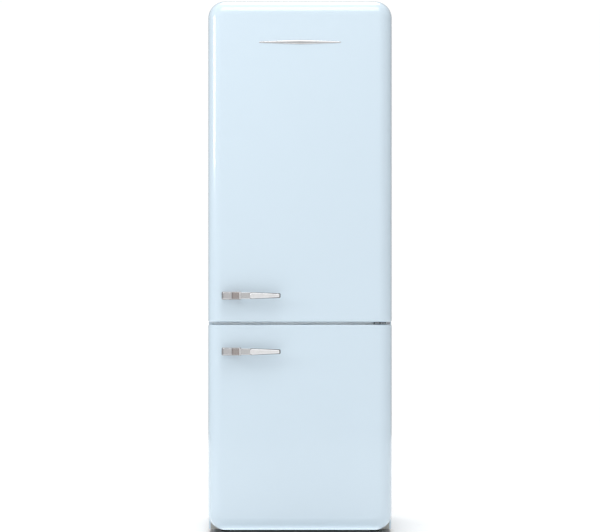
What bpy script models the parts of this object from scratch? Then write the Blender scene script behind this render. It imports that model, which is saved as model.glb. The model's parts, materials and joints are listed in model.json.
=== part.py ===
"""A tall two-door refrigerator in a rounded, enamelled cabinet: fridge above, freezer below.

Metres, +Z up. The front looks along -Y, +X is the hinge side, and the origin is on the floor
under the centre of the whole object. Every piece that can be taken off is an object of its own.
"""

import math

import bmesh
import bpy
from mathutils import Matrix, Vector

# ---------------------------------------------------------------- driving dimensions
WIDTH = 0.706                # cabinet and doors
HEIGHT = 2.050               # floor to the top of the cabinet
BODY_DEPTH = 0.634           # cabinet, front flange to back panel
DOOR_DEPTH = 0.090           # crown of a door to its back
SEAL_GAP = 0.012             # door back to cabinet front
HANDLE_REACH = 0.045         # handle in front of the door
REAR_SPACE = 0.032           # condenser behind the back panel

SPLIT = 0.812                # height of the middle of the gap between the doors
DOOR_GAP = 0.012             # between the two doors
DOOR_CLEARANCE = 0.016       # floor to the lower door
CORNER = 0.065               # outline corners of cabinet top, upper door top, lower door bottom
EDGE = 0.052                 # rounding from a door's side round to its face
OUTLINE_STEPS = 6            # facets in an outline corner
EDGE_STEPS = 5               # facets in a door's rounded edge

SHEET = 0.002                # steel sheet
MOULDING = 0.003             # plastic walls
FIT = 0.0005                 # gap between pieces that rest on or fit into each other
LIP = 0.018                  # front flange of the wrapper

FRIDGE_WALL = 0.052
FREEZER_WALL = 0.068
TOP_WALL = 0.062
BACK_WALL = 0.055
DIVIDER = 0.102              # between the compartments
RAIL_HEIGHT = 0.016          # strip across the cabinet front, behind the gap
RAIL_DEPTH = 0.018

SKIRT_CLEARANCE = 0.014      # floor to the lower edge of the cabinet sides
PLINTH_TOP = 0.035           # top of the grey strip between the cabinet's sides
PLINTH_FACE_TOP = 0.070      # top of the strip's face plate, in front of the sides' flanges
PLINTH_INSET = 0.008         # face plate from the cabinet's sides
PLINTH_DEPTH = 0.012
PLINTH_SHEET = 0.003
BASE_HEIGHT = 0.030          # floor to the underside of the base plate
BASE_SHEET = 0.003
FREEZER_FLOOR = 0.105        # height of the freezer's floor
MACHINE_DEPTH = 0.215        # machine space, forward from the back panel
MACHINE_TOP = 0.235
HOOD_FOAM = 0.050            # foam over the machine space

PIVOT_INSET = 0.013          # hinge pins from the cabinet's side
PIVOT_FORWARD = 0.024        # hinge pins in front of the doors' backs
HINGE_SETBACK = 0.090        # outer hinges from the door's rounded end
ARM_WIDTH = 0.013
ARM_SHEET = 0.005
ARM_CLEARANCE = 0.002
PIN_RADIUS = 0.004
PIN_CLEARANCE = 0.0004
PIN_LENGTH = 0.014
MIDDLE_HINGE_WIDTH = 0.062

SEAL_WIDTH = 0.022
SEAL_INSET = 0.020           # seal from the door's sides and ends
PLINTH_SEAL_INSET = 0.059    # seal from the lower door's bottom, above the plinth
DYKE_WIDTH = 0.030           # raised frame on a door's inside
DYKE_CLEARANCE = 0.012
FRIDGE_DYKE = 0.040
FREEZER_DYKE = 0.020
BIN_REACH = 0.105            # door bins, into the cabinet
BIN_GAP = 0.020              # bins to the shelves
FREEZER_DRAWER_GAP = 0.016   # freezer door's dyke to the drawers

LEDGE = 0.010                # moulded ledges that carry the shelves
LEDGE_HEIGHT = 0.008
SHELF = 0.005
DRAWER_CLEARANCE = 0.004     # above a drawer
FRIDGE_DRAWER_INSET = 0.023  # drawers from the liner's side walls, so that the door clears them
FREEZER_DRAWER_INSET = 0.028

HANDLE_LEFT = 0.053          # handle's outer end from the door's edge
HANDLE_RISE = 0.107          # handles from the middle of the gap
MOUNT_LENGTH = 0.074
MOUNT_HEIGHT = 0.027
MOUNT_PLATE = 0.005
MOUNT_PLATE_BORDER = 0.005
LEVER_LENGTH = 0.156
LEVER_THICKNESS = 0.012
LEVER_TIP_HEIGHT = 0.017

EAR_SHEET = 0.004            # ears that hold the rear axle
EAR_HALF = 0.012
EAR_DROP = 0.008             # ears below the axle
ROLLER_RADIUS = 0.0140
ROLLER_WIDTH = 0.020
ROLLER_CHAMFER = 0.002
ROLLER_INSET = 0.078         # middle of a roller from the cabinet's side
AXLE_RADIUS = 0.004
AXLE_CLEARANCE = 0.0004
AXLE_FROM_BACK = 0.050
AXLE_END = 0.004             # axle beyond its outer ears
FOOT_INSET = 0.063           # levelling screw from the cabinet's side
FOOT_FROM_FRONT = 0.050
FOOT_RADIUS = 0.018
FOOT_EDGE = 0.006            # height of the foot's straight edge
FOOT_COLLAR = 0.010          # radius of the collar round its screw
FOOT_COLLAR_HEIGHT = 0.012
SCREW_START = 0.014          # bare screw above the collar
SCREW_RADIUS = 0.004
SCREW_CLEARANCE = 0.0005
SCREW_TOP = 0.044
SCREW_POCKET = 0.002         # room in the foam round and over the screw
SCREW_POCKET_DEPTH = 0.030

HINGE_PLATE = 0.003
HINGE_PLATE_HEIGHT = 0.050
ARM_ROUND = 0.95             # corner of a hinge arm, as a share of half its width
SLOT_REACH = 0.022           # arm's slot, forward from the pin

LINER_ROUND = 0.015
CRISPER_SPACE = 0.225        # fridge floor to the lid over the crispers
CHILLER_SPACE = 0.108        # that lid to the lowest glass shelf
SHELF_SHARES = (0.28, 0.46, 0.66)   # middle shelf, bottle rack and top shelf above it
SHELF_TO_BACK = 0.033
SHELF_ROUND = 0.004
RUNNER = 0.006

MOUNT_ROUND = 0.004
NECK_INSET = 0.004           # handle's neck from the ends of its mount
NECK_ROUND = 0.018
LEVER_SETBACK = 0.001        # lever behind the neck's crown
LEVER_TIP_ROUND = 0.006
ROOT_LENGTH = 0.030          # thicker root of the lever
ROOT_DEPTH = 0.023
ROOT_ROUND = 0.006
ROOT_STEP = 0.001            # root inside the lever's height

BADGE_WIDTH = 0.312
BADGE_HEIGHT = 0.016
BADGE_TIP = 0.005
BADGE_BELOW_TOP = 0.161
BADGE_THICKNESS = 0.003

TRAY_ROUND = 0.012
BIN_WALL = 0.0025
BIN_HEIGHT = 0.090
DAIRY_BIN_HEIGHT = 0.080
BOTTLE_BIN_HEIGHT = 0.120
BOTTLE_BIN_RISE = 0.049      # above the fridge's floor
DAIRY_BIN_DROP = 0.228       # below the fridge's ceiling
LID_SHEET = 0.003
LID_BARREL = 0.004
LID_AXIS_BACK = 0.008        # lid's axis behind the door's back

RACK_WIRE = 0.0025
RACK_WAVES = 6
RACK_RISE = 0.016
RACK_INSET = 0.020           # rack's wires from the shelves' front and back
RACK_FLAT = 0.004            # straight ends, beyond the ledges
WAVE_STEPS = 8

DRAWER_WALL = 0.003
DRAWER_ROUND = 0.014
GRIP_HALF = 0.085
GRIP_REACH = 0.009
GRIP_HEIGHT = 0.016
GRIP_ROUND = 0.002
CRISPER_SPLIT = 0.006
CHILLER_HEIGHT = 0.078
DRAWER_BACK_CLEARANCE = 0.010

DUCT_HALF = 0.070
DUCT_DEPTH = 0.026
DUCT_ROUND = 0.010
DUCT_BELOW_TOP = 0.060
DUCT_RISE = 0.034            # above the lowest glass shelf
DUCT_SLOTS = 4
DUCT_SLOT_SHARE = 0.6        # of the duct's width
DUCT_SLOT_HALF = 0.005
DUCT_SLOT_DEPTH = 0.012

PANEL_HALF = 0.160
PANEL_HEIGHT = 0.042
PANEL_SETBACK = 0.095        # behind the cabinet's front
PANEL_DEPTH = 0.100
PANEL_ROUND = 0.010
LAMP_DEPTH = 0.110
LAMP_RISE = 0.006
LAMP_ROUND = 0.012
CONTROL_BORE = 0.030
CONTROL_STEM = 0.010         # dial's spindle and button's stem, into the panel
DIAL_RADIUS = 0.014
DIAL_DEPTH = 0.012
DIAL_EDGE = 0.009
DIAL_CHAMFER = 0.002
DIAL_X = -0.060
SPINDLE_RADIUS = 0.003
FIN_HALF = 0.0025            # fin across the dial's face
FIN_PROUD = 0.004
FIN_SHARE = 0.8
BUTTON_X = 0.060
BUTTON_RADIUS = 0.007
BUTTON_CLEARANCE = 0.0004
BUTTON_PROUD = 0.003
BUTTON_CHAMFER = 0.001

EVAPORATOR_SPACE = 0.066
COVER_SHEET = 0.003
RETURN_SLOTS = 3
RETURN_SLOT_RISE = 0.030
RETURN_SLOT_PITCH = 0.020
RETURN_SLOT_HEIGHT = 0.008
RETURN_SLOT_SHARE = 0.6
FAN_BELOW_TOP = 0.080
FAN_SETBACK = 0.004          # fan behind its cover
FAN_RADIUS = 0.048
FAN_BLADES = 6
FAN_BLADE_DEPTH = 0.014
FAN_BLADE_SHEET = 0.002
FAN_PITCH = 30               # degrees
FAN_CLEARANCE = 0.004
HUB_RADIUS = 0.016
BLADE_ROOT = 0.7             # where a blade starts, as a share of the hub
MOTOR_RADIUS = 0.018
MOTOR_LENGTH = 0.024
MOTOR_GAP = 0.002
SHAFT_RADIUS = 0.002
SHAFT_LENGTH = 0.010
STRUT_HALF = 0.070
STRUT_HEIGHT = 0.008
STRUT_SETBACK = 0.010
STRUT_SHEET = 0.004
COIL_HALF = 0.200
COIL_HEIGHT = 0.170
COIL_DEPTH = 0.044
COIL_FINS = 16
COIL_RISE = 0.020            # above the step over the machine space
COIL_TO_BACK = 0.008
COIL_BACKBONE = 0.006
FIN_SHEET = 0.004

COMPRESSOR_X = -0.060
COMPRESSOR_RADIUS = 0.074
COMPRESSOR_TOP = 0.196
COMPRESSOR_RISE = 0.012      # its can above the base plate
COMPRESSOR_FOOT = (0.095, 0.060)    # half length and half depth
COMPRESSOR_FOOT_ROUND = 0.015
SEAM_PROUD = 0.004           # rolled seam round the can
SEAM_HALF = 0.003
TRAY_HALF = 0.110
TRAY_SHEET = 0.002
TRAY_FRONT = 0.020
TRAY_BACK = 0.030
TRAY_OVER_CAN = 0.004
TRAY_UNDER_HOOD = 0.006
INLET_INSET = 0.103          # middle of the power inlet from the cabinet's side
INLET_HALF = 0.028
INLET_DEPTH = 0.056
INLET_HEIGHT = 0.052
INLET_SETBACK = 0.004
INLET_ROUND = 0.003
SOCKET_HALF = 0.012
SOCKET_DEPTH = 0.024
SOCKET_LOW = 0.016
SOCKET_HIGH = 0.034
PIPE_RADIUS = 0.003
DRIER_RADIUS = 0.011
DRIER_NECK = 0.004
DRIER_HALF = 0.060
DRIER_TAPER = 0.012
DRIER_X = 0.150
DRIER_FORWARD = 0.055        # in front of the compressor's middle
DRIER_RISE = 0.090
PIPE_CLEARANCE = 0.006       # discharge pipe's start from the compressor
PIPE_LOW = 0.085
PIPE_HIGH = 0.185
PIPE_BEND = 0.015
PIPE_JOINT = 0.200           # height where the condenser starts
TUBE_INSET = 0.083           # condenser's bends from the cabinet's sides
TUBE_PITCH = 0.080
TUBE_RISE = 0.085            # lowest pass above the machine space
TUBE_BELOW_TOP = 0.450
BEND_STEPS = 4

PAST = 0.05                  # how far a cutter runs past what it cuts

# ---------------------------------------------------------------- places worked out from them
HALF = WIDTH / 2
TOTAL_DEPTH = HANDLE_REACH + DOOR_DEPTH + SEAL_GAP + BODY_DEPTH + REAR_SPACE
Y_HANDLE = -TOTAL_DEPTH / 2
Y_DOOR_FACE = Y_HANDLE + HANDLE_REACH
Y_DOOR_BACK = Y_DOOR_FACE + DOOR_DEPTH
Y_FACE = Y_DOOR_BACK + SEAL_GAP
Y_BACK = Y_FACE + BODY_DEPTH
Y_REAR = Y_BACK + REAR_SPACE

FRIDGE_HALF = HALF - FRIDGE_WALL
FREEZER_HALF = HALF - FREEZER_WALL
FRIDGE_FLOOR = SPLIT + DIVIDER / 2
FREEZER_TOP = SPLIT - DIVIDER / 2
FRIDGE_TOP = HEIGHT - TOP_WALL
INNER_BACK = Y_BACK - SHEET - BACK_WALL
FLANGE_HALF = HALF - LIP - FIT
BASE_TOP = BASE_HEIGHT + BASE_SHEET
MACHINE_FRONT = Y_BACK - MACHINE_DEPTH
STEP_TOP = MACHINE_TOP + SHEET + HOOD_FOAM + MOULDING
STEP_FRONT = MACHINE_FRONT - SHEET - HOOD_FOAM - MOULDING

PIVOT = Vector((HALF - PIVOT_INSET, Y_DOOR_BACK - PIVOT_FORWARD, 0))
UPPER_BOTTOM = SPLIT + DOOR_GAP / 2
LOWER_TOP = SPLIT - DOOR_GAP / 2
SHELF_FRONT = Y_DOOR_BACK + BIN_REACH + BIN_GAP
SHELF_BACK = INNER_BACK - SHELF_TO_BACK
FREEZER_FRONT = Y_DOOR_BACK + FREEZER_DYKE + FREEZER_DRAWER_GAP
ROLLER_X = HALF - ROLLER_INSET
FOOT_X = HALF - FOOT_INSET
AXLE_Y = Y_BACK - AXLE_FROM_BACK
FOOT_Y = Y_FACE + FOOT_FROM_FRONT
LID_HEIGHT = FRIDGE_FLOOR + CRISPER_SPACE
LOW_SHELF = LID_HEIGHT + CHILLER_SPACE
OPEN_HEIGHT = FRIDGE_TOP - LOW_SHELF
SHELF_HEIGHTS = {"crisper_lid": LID_HEIGHT, "glass_shelf_3": LOW_SHELF,
                 "glass_shelf_2": LOW_SHELF + SHELF_SHARES[0] * OPEN_HEIGHT,
                 "bottle_rack": LOW_SHELF + SHELF_SHARES[1] * OPEN_HEIGHT,
                 "glass_shelf_1": LOW_SHELF + SHELF_SHARES[2] * OPEN_HEIGHT}
MIDDLE_FLOOR = max(FREEZER_FLOOR + (FREEZER_TOP - FREEZER_FLOOR) / 3, STEP_TOP + RUNNER)
TOP_FLOOR = (MIDDLE_FLOOR + FREEZER_TOP) / 2
RUNNER_HEIGHTS = {"freezer_drawer_middle": MIDDLE_FLOOR, "freezer_drawer_top": TOP_FLOOR}
UPPER_HINGE_Z = HEIGHT - HINGE_SETBACK
LOWER_HINGE_Z = DOOR_CLEARANCE + HINGE_SETBACK
PIN_BORE = PIN_RADIUS + PIN_CLEARANCE
BOTTLE_BIN_Z = FRIDGE_FLOOR + BOTTLE_BIN_RISE
DAIRY_BIN_Z = FRIDGE_TOP - DAIRY_BIN_DROP
BIN_PITCH = (DAIRY_BIN_Z - BOTTLE_BIN_Z) / 3
BINS = {"dairy_bin": (DAIRY_BIN_Z, DAIRY_BIN_HEIGHT),
        "door_bin": (DAIRY_BIN_Z - BIN_PITCH, BIN_HEIGHT),
        "door_bin_middle": (BOTTLE_BIN_Z + BIN_PITCH, BIN_HEIGHT),
        "bottle_bin": (BOTTLE_BIN_Z, BOTTLE_BIN_HEIGHT)}
DAIRY_LID_Z = BINS["dairy_bin"][0] + BINS["dairy_bin"][1] + FIT
LID_AXIS = Vector((0, Y_DOOR_BACK + LID_AXIS_BACK, DAIRY_LID_Z + LID_BARREL))
DUCT_BOTTOM = LOW_SHELF + DUCT_RISE
PANEL_FRONT = Y_FACE + PANEL_SETBACK
PANEL_BACK = PANEL_FRONT + PANEL_DEPTH
PANEL_BOTTOM = FRIDGE_TOP - FIT - PANEL_HEIGHT
CONTROL_Z = PANEL_BOTTOM + PANEL_HEIGHT / 2
EVAPORATOR_FACE = INNER_BACK - EVAPORATOR_SPACE
FAN_Z = FREEZER_TOP - FAN_BELOW_TOP
FAN_FACE = EVAPORATOR_FACE + FAN_SETBACK
COVER_FACE = EVAPORATOR_FACE - COVER_SHEET
DRAWERS = {"freezer_drawer_bottom": (FREEZER_FLOOR, MIDDLE_FLOOR - RUNNER, STEP_FRONT),
           "freezer_drawer_middle": (MIDDLE_FLOOR, TOP_FLOOR - RUNNER, COVER_FACE),
           "freezer_drawer_top": (TOP_FLOOR, FREEZER_TOP, COVER_FACE)}
COMPRESSOR_Y = (MACHINE_FRONT + Y_BACK) / 2
TUBE_Y = Y_REAR - PIPE_RADIUS
TUBE_HALF = HALF - TUBE_INSET
TUBE_BOTTOM = MACHINE_TOP + TUBE_RISE
TUBE_PASSES = 1 + int((HEIGHT - TUBE_BELOW_TOP - TUBE_BOTTOM) / TUBE_PITCH)
INLET_X = HALF - INLET_INSET

# ---------------------------------------------------------------- scene and materials
for old in list(bpy.data.objects):
    bpy.data.objects.remove(old)

parts = bpy.data.collections.new("two_door_refrigerator")
cutters = bpy.data.collections.new("cutters")
for group in (parts, cutters):
    bpy.context.scene.collection.children.link(group)


def material(name, colour, roughness, metallic=0.0):
    """A Principled BSDF with one colour."""
    made = bpy.data.materials.new(name)
    made.use_nodes = True
    shader = made.node_tree.nodes["Principled BSDF"]
    shader.inputs["Base Color"].default_value = (*colour, 1)
    shader.inputs["Roughness"].default_value = roughness
    shader.inputs["Metallic"].default_value = metallic
    return made


ENAMEL = material("pale_blue_enamel", (0.68, 0.82, 0.90), 0.15)
CHROME = material("chrome", (0.75, 0.75, 0.76), 0.12, 1.0)
GREY_STEEL = material("grey_steel", (0.42, 0.43, 0.44), 0.4, 0.6)
DARK_STEEL = material("dark_steel", (0.06, 0.065, 0.07), 0.4, 0.7)
BLACK_STEEL = material("black_steel", (0.02, 0.02, 0.022), 0.35, 0.3)
WHITE_PLASTIC = material("white_plastic", (0.86, 0.88, 0.89), 0.3)
CLEAR_PLASTIC = material("clear_plastic", (0.80, 0.86, 0.90), 0.15)
GLASS = material("glass", (0.82, 0.90, 0.89), 0.05)
SEAL_RUBBER = material("seal_rubber", (0.45, 0.47, 0.49), 0.7)
BLACK_PLASTIC = material("black_plastic", (0.03, 0.03, 0.032), 0.5)
FOAM = material("foam", (0.80, 0.72, 0.48), 0.95)
ALUMINIUM = material("aluminium", (0.66, 0.67, 0.68), 0.35, 0.9)
COPPER = material("copper", (0.72, 0.40, 0.26), 0.3, 0.9)


# ---------------------------------------------------------------- tools
def new_object(name, mesh, finish=None):
    obj = bpy.data.objects.new(name, mesh)
    if finish:
        mesh.materials.append(finish)
    parts.objects.link(obj)
    return obj


def as_cutter(obj):
    """Moves an object among the helpers, which are never rendered."""
    parts.objects.unlink(obj)
    cutters.objects.link(obj)
    obj.hide_render = True
    obj.display_type = "WIRE"
    return obj


def block(name, low, high, finish=None, round_along=None, radius=0.0, steps=3):
    """A box between two corners. The four edges along one axis can be rounded."""
    low, high = Vector(low), Vector(high)
    shape = bmesh.new()
    bmesh.ops.create_cube(shape, size=1)
    bmesh.ops.scale(shape, vec=high - low, verts=shape.verts)
    if round_along is not None:
        along = [e for e in shape.edges
                 if abs((e.verts[0].co - e.verts[1].co)[round_along]) > 1e-6]
        bmesh.ops.bevel(shape, geom=along, offset=radius, segments=steps, profile=0.5,
                        affect="EDGES")
    mesh = bpy.data.meshes.new(name)
    shape.to_mesh(mesh)
    shape.free()
    obj = new_object(name, mesh, finish)
    obj.location = (low + high) / 2
    return obj


def arch(name, half, z_low, z_high, y_low, y_high, radius, finish=None, rounded="top"):
    """A box whose two outline corners at its top, or at its bottom, are round."""
    shape = bmesh.new()
    bmesh.ops.create_cube(shape, size=1)
    size = Vector((2 * half, y_high - y_low, z_high - z_low))
    bmesh.ops.scale(shape, vec=size, verts=shape.verts)
    side = 1 if rounded == "top" else -1
    corners = [e for e in shape.edges
               if abs(e.verts[0].co.y - e.verts[1].co.y) > 1e-6 and side * e.verts[0].co.z > 0]
    bmesh.ops.bevel(shape, geom=corners, offset=radius, segments=OUTLINE_STEPS, profile=0.5,
                    affect="EDGES")
    mesh = bpy.data.meshes.new(name)
    shape.to_mesh(mesh)
    shape.free()
    obj = new_object(name, mesh, finish)
    obj.location = (0, (y_low + y_high) / 2, (z_low + z_high) / 2)
    return obj


def door_solid(name, inset, z_low, z_high, rounded, finish, back=None):
    """A door's solid, shrunk by inset: round outline corners at one end, and a large rounding
    from the sides and that end round to the face."""
    y_low = Y_DOOR_FACE + inset
    y_high = Y_DOOR_BACK if back is None else back
    obj = arch(name, HALF - inset, z_low + inset, z_high - inset, y_low, y_high,
               CORNER - inset, finish, rounded)
    side = 1 if rounded == "top" else -1
    half_height = (z_high - z_low) / 2 - inset
    half_depth = (y_high - y_low) / 2
    shape = bmesh.new()
    shape.from_mesh(obj.data)

    def on_face(edge):
        return all(abs(v.co.y + half_depth) < 1e-6 for v in edge.verts)

    def on_flat_end(edge):
        return all(abs(v.co.z + side * half_height) < 1e-6 for v in edge.verts)

    front = [e for e in shape.edges if on_face(e) and not on_flat_end(e)]
    bmesh.ops.bevel(shape, geom=front, offset=EDGE - inset, segments=EDGE_STEPS, profile=0.5,
                    affect="EDGES", clamp_overlap=False)
    shape.to_mesh(obj.data)
    shape.free()
    return obj


def outline(name, points, low, high, finish=None):
    """A flat outline of (y, z) points, pushed out along X from low to high."""
    curve = bpy.data.curves.new(name, "CURVE")
    curve.dimensions = "2D"
    curve.fill_mode = "BOTH"
    curve.extrude = (high - low) / 2
    spline = curve.splines.new("POLY")
    spline.points.add(len(points) - 1)
    for point, (y, z) in zip(spline.points, points):
        point.co = (y, z, 0, 1)
    spline.use_cyclic_u = True
    flat = bpy.data.objects.new(name, curve)
    flat.matrix_world = Matrix(((0, 0, 1, (low + high) / 2), (1, 0, 0, 0),
                                (0, 1, 0, 0), (0, 0, 0, 1)))
    return meshed(flat, finish)


def meshed(flat, finish=None):
    """The mesh of a curve object, with its caps welded on."""
    name = flat.name
    bpy.context.scene.collection.objects.link(flat)
    bpy.context.view_layer.update()
    seen = flat.evaluated_get(bpy.context.evaluated_depsgraph_get())
    mesh = bpy.data.meshes.new_from_object(seen)
    shape = bmesh.new()
    shape.from_mesh(mesh)
    bmesh.ops.remove_doubles(shape, verts=shape.verts, dist=1e-6)
    bmesh.ops.recalc_face_normals(shape, faces=shape.faces)
    shape.to_mesh(mesh)
    shape.free()
    place = flat.matrix_world.copy()
    bpy.data.objects.remove(flat)
    obj = new_object(name, mesh, finish)
    obj.matrix_world = place
    return obj


def tube(name, points, radius, finish):
    """A bent tube with closed ends along a list of points."""
    curve = bpy.data.curves.new(name, "CURVE")
    curve.dimensions = "3D"
    curve.bevel_depth = radius
    curve.bevel_resolution = 2
    curve.use_fill_caps = True
    spline = curve.splines.new("POLY")
    spline.points.add(len(points) - 1)
    for point, place in zip(spline.points, points):
        point.co = (*place, 1)
    obj = bpy.data.objects.new(name, curve)
    curve.materials.append(finish)
    parts.objects.link(obj)
    return obj


def turned(name, profile, finish, at, axis="Z", steps=20, ring=False):
    """A turned piece. The profile lists (radius, height), top to bottom down the outer side;
    a ring's profile closes on itself and leaves a bore."""
    mesh = bpy.data.meshes.new(name)
    points = [(radius, 0, height) for radius, height in profile]
    edges = [(i, i + 1) for i in range(len(points) - 1)]
    if ring:
        edges.append((len(points) - 1, 0))
    mesh.from_pydata(points, edges, [])
    obj = new_object(name, mesh, finish)
    spin = obj.modifiers.new("turn", "SCREW")
    spin.steps = spin.render_steps = steps
    spin.use_merge_vertices = True
    spin.merge_threshold = 0.00005
    obj.location = at
    obj.rotation_euler = {"X": (0, math.pi / 2, 0), "Y": (-math.pi / 2, 0, 0), "Z": (0, 0, 0)}[axis]
    return obj


def cylinder(name, radius, length, at, axis="Z", finish=None, steps=16):
    half = length / 2
    return turned(name, [(0, half), (radius, half), (radius, -half), (0, -half)], finish, at,
                  axis, steps)


def combine(target, others, operation):
    for other in others:
        step = target.modifiers.new(operation.lower(), "BOOLEAN")
        step.operation = operation
        step.object = as_cutter(other)
    return target


def cut(target, *others):
    return combine(target, others, "DIFFERENCE")


def join(target, *others):
    return combine(target, others, "UNION")


def cut_with(target, *tools):
    """Cuts with helpers that other pieces are cut with too."""
    for tool in tools:
        step = target.modifiers.new("cut", "BOOLEAN")
        step.operation = "DIFFERENCE"
        step.object = tool
    return target


def move_origin(obj, point):
    """Puts a piece's origin on a point, such as its joint's axis, without moving the piece."""
    turn = obj.rotation_euler.to_matrix().to_4x4()
    shift = turn.inverted() @ (obj.location - Vector(point))
    obj.data.transform(Matrix.Translation(shift))
    obj.location = point
    return obj


def pivot_empty(name, at):
    empty = bpy.data.objects.new(name, None)
    empty.location = at
    parts.objects.link(empty)
    return empty


def hang_on(empty, *pieces):
    """Parents pieces to an empty, where they stand."""
    for piece in pieces:
        piece.parent = empty
        piece.matrix_parent_inverse = Matrix.Translation(-Vector(empty.location))


# ---------------------------------------------------------------- cabinet
def make_cabinet_wrapper():
    """The steel outside: sides and top in one sheet, turned in round the front."""
    shell = arch("cabinet_wrapper", HALF, SKIRT_CLEARANCE, HEIGHT, Y_FACE, Y_BACK, CORNER, ENAMEL)
    hollow = arch("wrapper_hollow", HALF - SHEET, SKIRT_CLEARANCE - PAST, HEIGHT - SHEET,
                  Y_FACE + SHEET, Y_BACK + PAST, CORNER - SHEET)
    mouth = arch("wrapper_mouth", HALF - LIP, SKIRT_CLEARANCE - PAST, HEIGHT - LIP,
                 Y_FACE - PAST, Y_FACE + PAST, CORNER - LIP)
    cut(shell, hollow, mouth)


def make_back_panel():
    arch("back_panel", HALF - SHEET - FIT, MACHINE_TOP, HEIGHT - SHEET - FIT,
         Y_BACK - SHEET, Y_BACK, CORNER - SHEET - FIT, GREY_STEEL)


def make_base_frame():
    """Base plate and the stepped hood over the machine space, with ears for the rear rollers."""
    hood_end = Y_BACK - SHEET - FIT
    front = Y_FACE + PLINTH_DEPTH + FIT
    section = [(front, BASE_HEIGHT), (Y_BACK, BASE_HEIGHT), (Y_BACK, BASE_TOP),
               (MACHINE_FRONT, BASE_TOP), (MACHINE_FRONT, MACHINE_TOP), (hood_end, MACHINE_TOP),
               (hood_end, MACHINE_TOP + SHEET), (MACHINE_FRONT - SHEET, MACHINE_TOP + SHEET),
               (MACHINE_FRONT - SHEET, BASE_TOP), (front, BASE_TOP)]
    half = HALF - SHEET - FIT
    frame = outline("base_frame", section, -half, half, GREY_STEEL)
    reach = ROLLER_WIDTH / 2 + FIT
    for side in (-1, 1):
        for face in (-1, 1):
            near = side * ROLLER_X + face * reach
            far = near + face * EAR_SHEET
            ear = block("roller_ear", (min(near, far), AXLE_Y - EAR_HALF, ROLLER_RADIUS - EAR_DROP),
                        (max(near, far), AXLE_Y + EAR_HALF, BASE_TOP - SHEET / 2))
            join(frame, ear)
        hole = cylinder("foot_hole", SCREW_RADIUS + SCREW_CLEARANCE, PAST,
                        (side * FOOT_X, FOOT_Y, BASE_HEIGHT))
        cut(frame, hole)
    bore = cylinder("axle_bore", AXLE_RADIUS + AXLE_CLEARANCE, WIDTH,
                    (0, AXLE_Y, ROLLER_RADIUS), "X")
    cut(frame, bore)


def make_plinth():
    """A bar between the cabinet's sides, with a face plate in front of their flanges."""
    bar = block("plinth", (-FLANGE_HALF, Y_FACE - 2 * FIT, SKIRT_CLEARANCE),
                (FLANGE_HALF, Y_FACE + PLINTH_DEPTH, PLINTH_TOP), GREY_STEEL)
    half = HALF - PLINTH_INSET
    face = block("plinth_face", (-half, Y_FACE - FIT - PLINTH_SHEET, SKIRT_CLEARANCE),
                 (half, Y_FACE - FIT, PLINTH_FACE_TOP))
    join(bar, face)


def make_centre_rail():
    block("centre_rail", (-FLANGE_HALF, Y_FACE, SPLIT - RAIL_HEIGHT / 2),
          (FLANGE_HALF, Y_FACE + RAIL_DEPTH, SPLIT + RAIL_HEIGHT / 2), GREY_STEEL)


def freezer_section(grow, front):
    """The freezer's side view as (y, z) points, grown outwards; it steps up over the machine."""
    floor = FREEZER_FLOOR - grow
    step = STEP_FRONT + grow
    top = FREEZER_TOP + grow
    back = INNER_BACK + grow
    return [(front, floor), (step, floor), (step, STEP_TOP - grow), (back, STEP_TOP - grow),
            (back, top), (front, top)]


def ledges(heights, wall, width, thickness, front, back):
    """A pair of moulded ledges under each height in a list."""
    made = []
    for height in heights:
        for side in (-1, 1):
            edge = side * (wall + MOULDING / 2)
            inner = side * (wall - width)
            made.append(block("ledge", (min(edge, inner), front, height - thickness),
                              (max(edge, inner), back, height)))
    return made


def make_fridge_liner():
    liner = arch("fridge_liner", FLANGE_HALF, SPLIT + RAIL_HEIGHT / 2 + FIT,
                 HEIGHT - LIP - FIT, Y_FACE, Y_FACE + MOULDING, CORNER - LIP - FIT, WHITE_PLASTIC)
    outside = FRIDGE_HALF + MOULDING
    box = block("fridge_box", (-outside, Y_FACE + FIT, FRIDGE_FLOOR - MOULDING),
                (outside, INNER_BACK + MOULDING, FRIDGE_TOP + MOULDING),
                None, 1, LINER_ROUND + MOULDING)
    inside = block("fridge_space", (-FRIDGE_HALF, Y_FACE - PAST, FRIDGE_FLOOR),
                   (FRIDGE_HALF, INNER_BACK, FRIDGE_TOP), None, 1, LINER_ROUND)
    cut(join(liner, box), inside)
    join(liner, *ledges(SHELF_HEIGHTS.values(), FRIDGE_HALF, LEDGE, LEDGE_HEIGHT,
                        SHELF_FRONT + LEDGE, SHELF_BACK))


def make_freezer_liner():
    liner = block("freezer_liner", (-FLANGE_HALF, Y_FACE, PLINTH_TOP + FIT),
                  (FLANGE_HALF, Y_FACE + MOULDING, SPLIT - RAIL_HEIGHT / 2 - FIT), WHITE_PLASTIC)
    outside = FREEZER_HALF + MOULDING
    box = outline("freezer_box", freezer_section(MOULDING, Y_FACE + FIT), -outside, outside)
    inside = outline("freezer_space", freezer_section(0, Y_FACE - PAST), -FREEZER_HALF,
                     FREEZER_HALF)
    cut(join(liner, box), inside)
    join(liner, *ledges(RUNNER_HEIGHTS.values(), FREEZER_HALF, FREEZER_DRAWER_INSET + LEDGE,
                        RUNNER, FREEZER_FRONT + LEDGE, EVAPORATOR_FACE - LEDGE))


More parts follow.
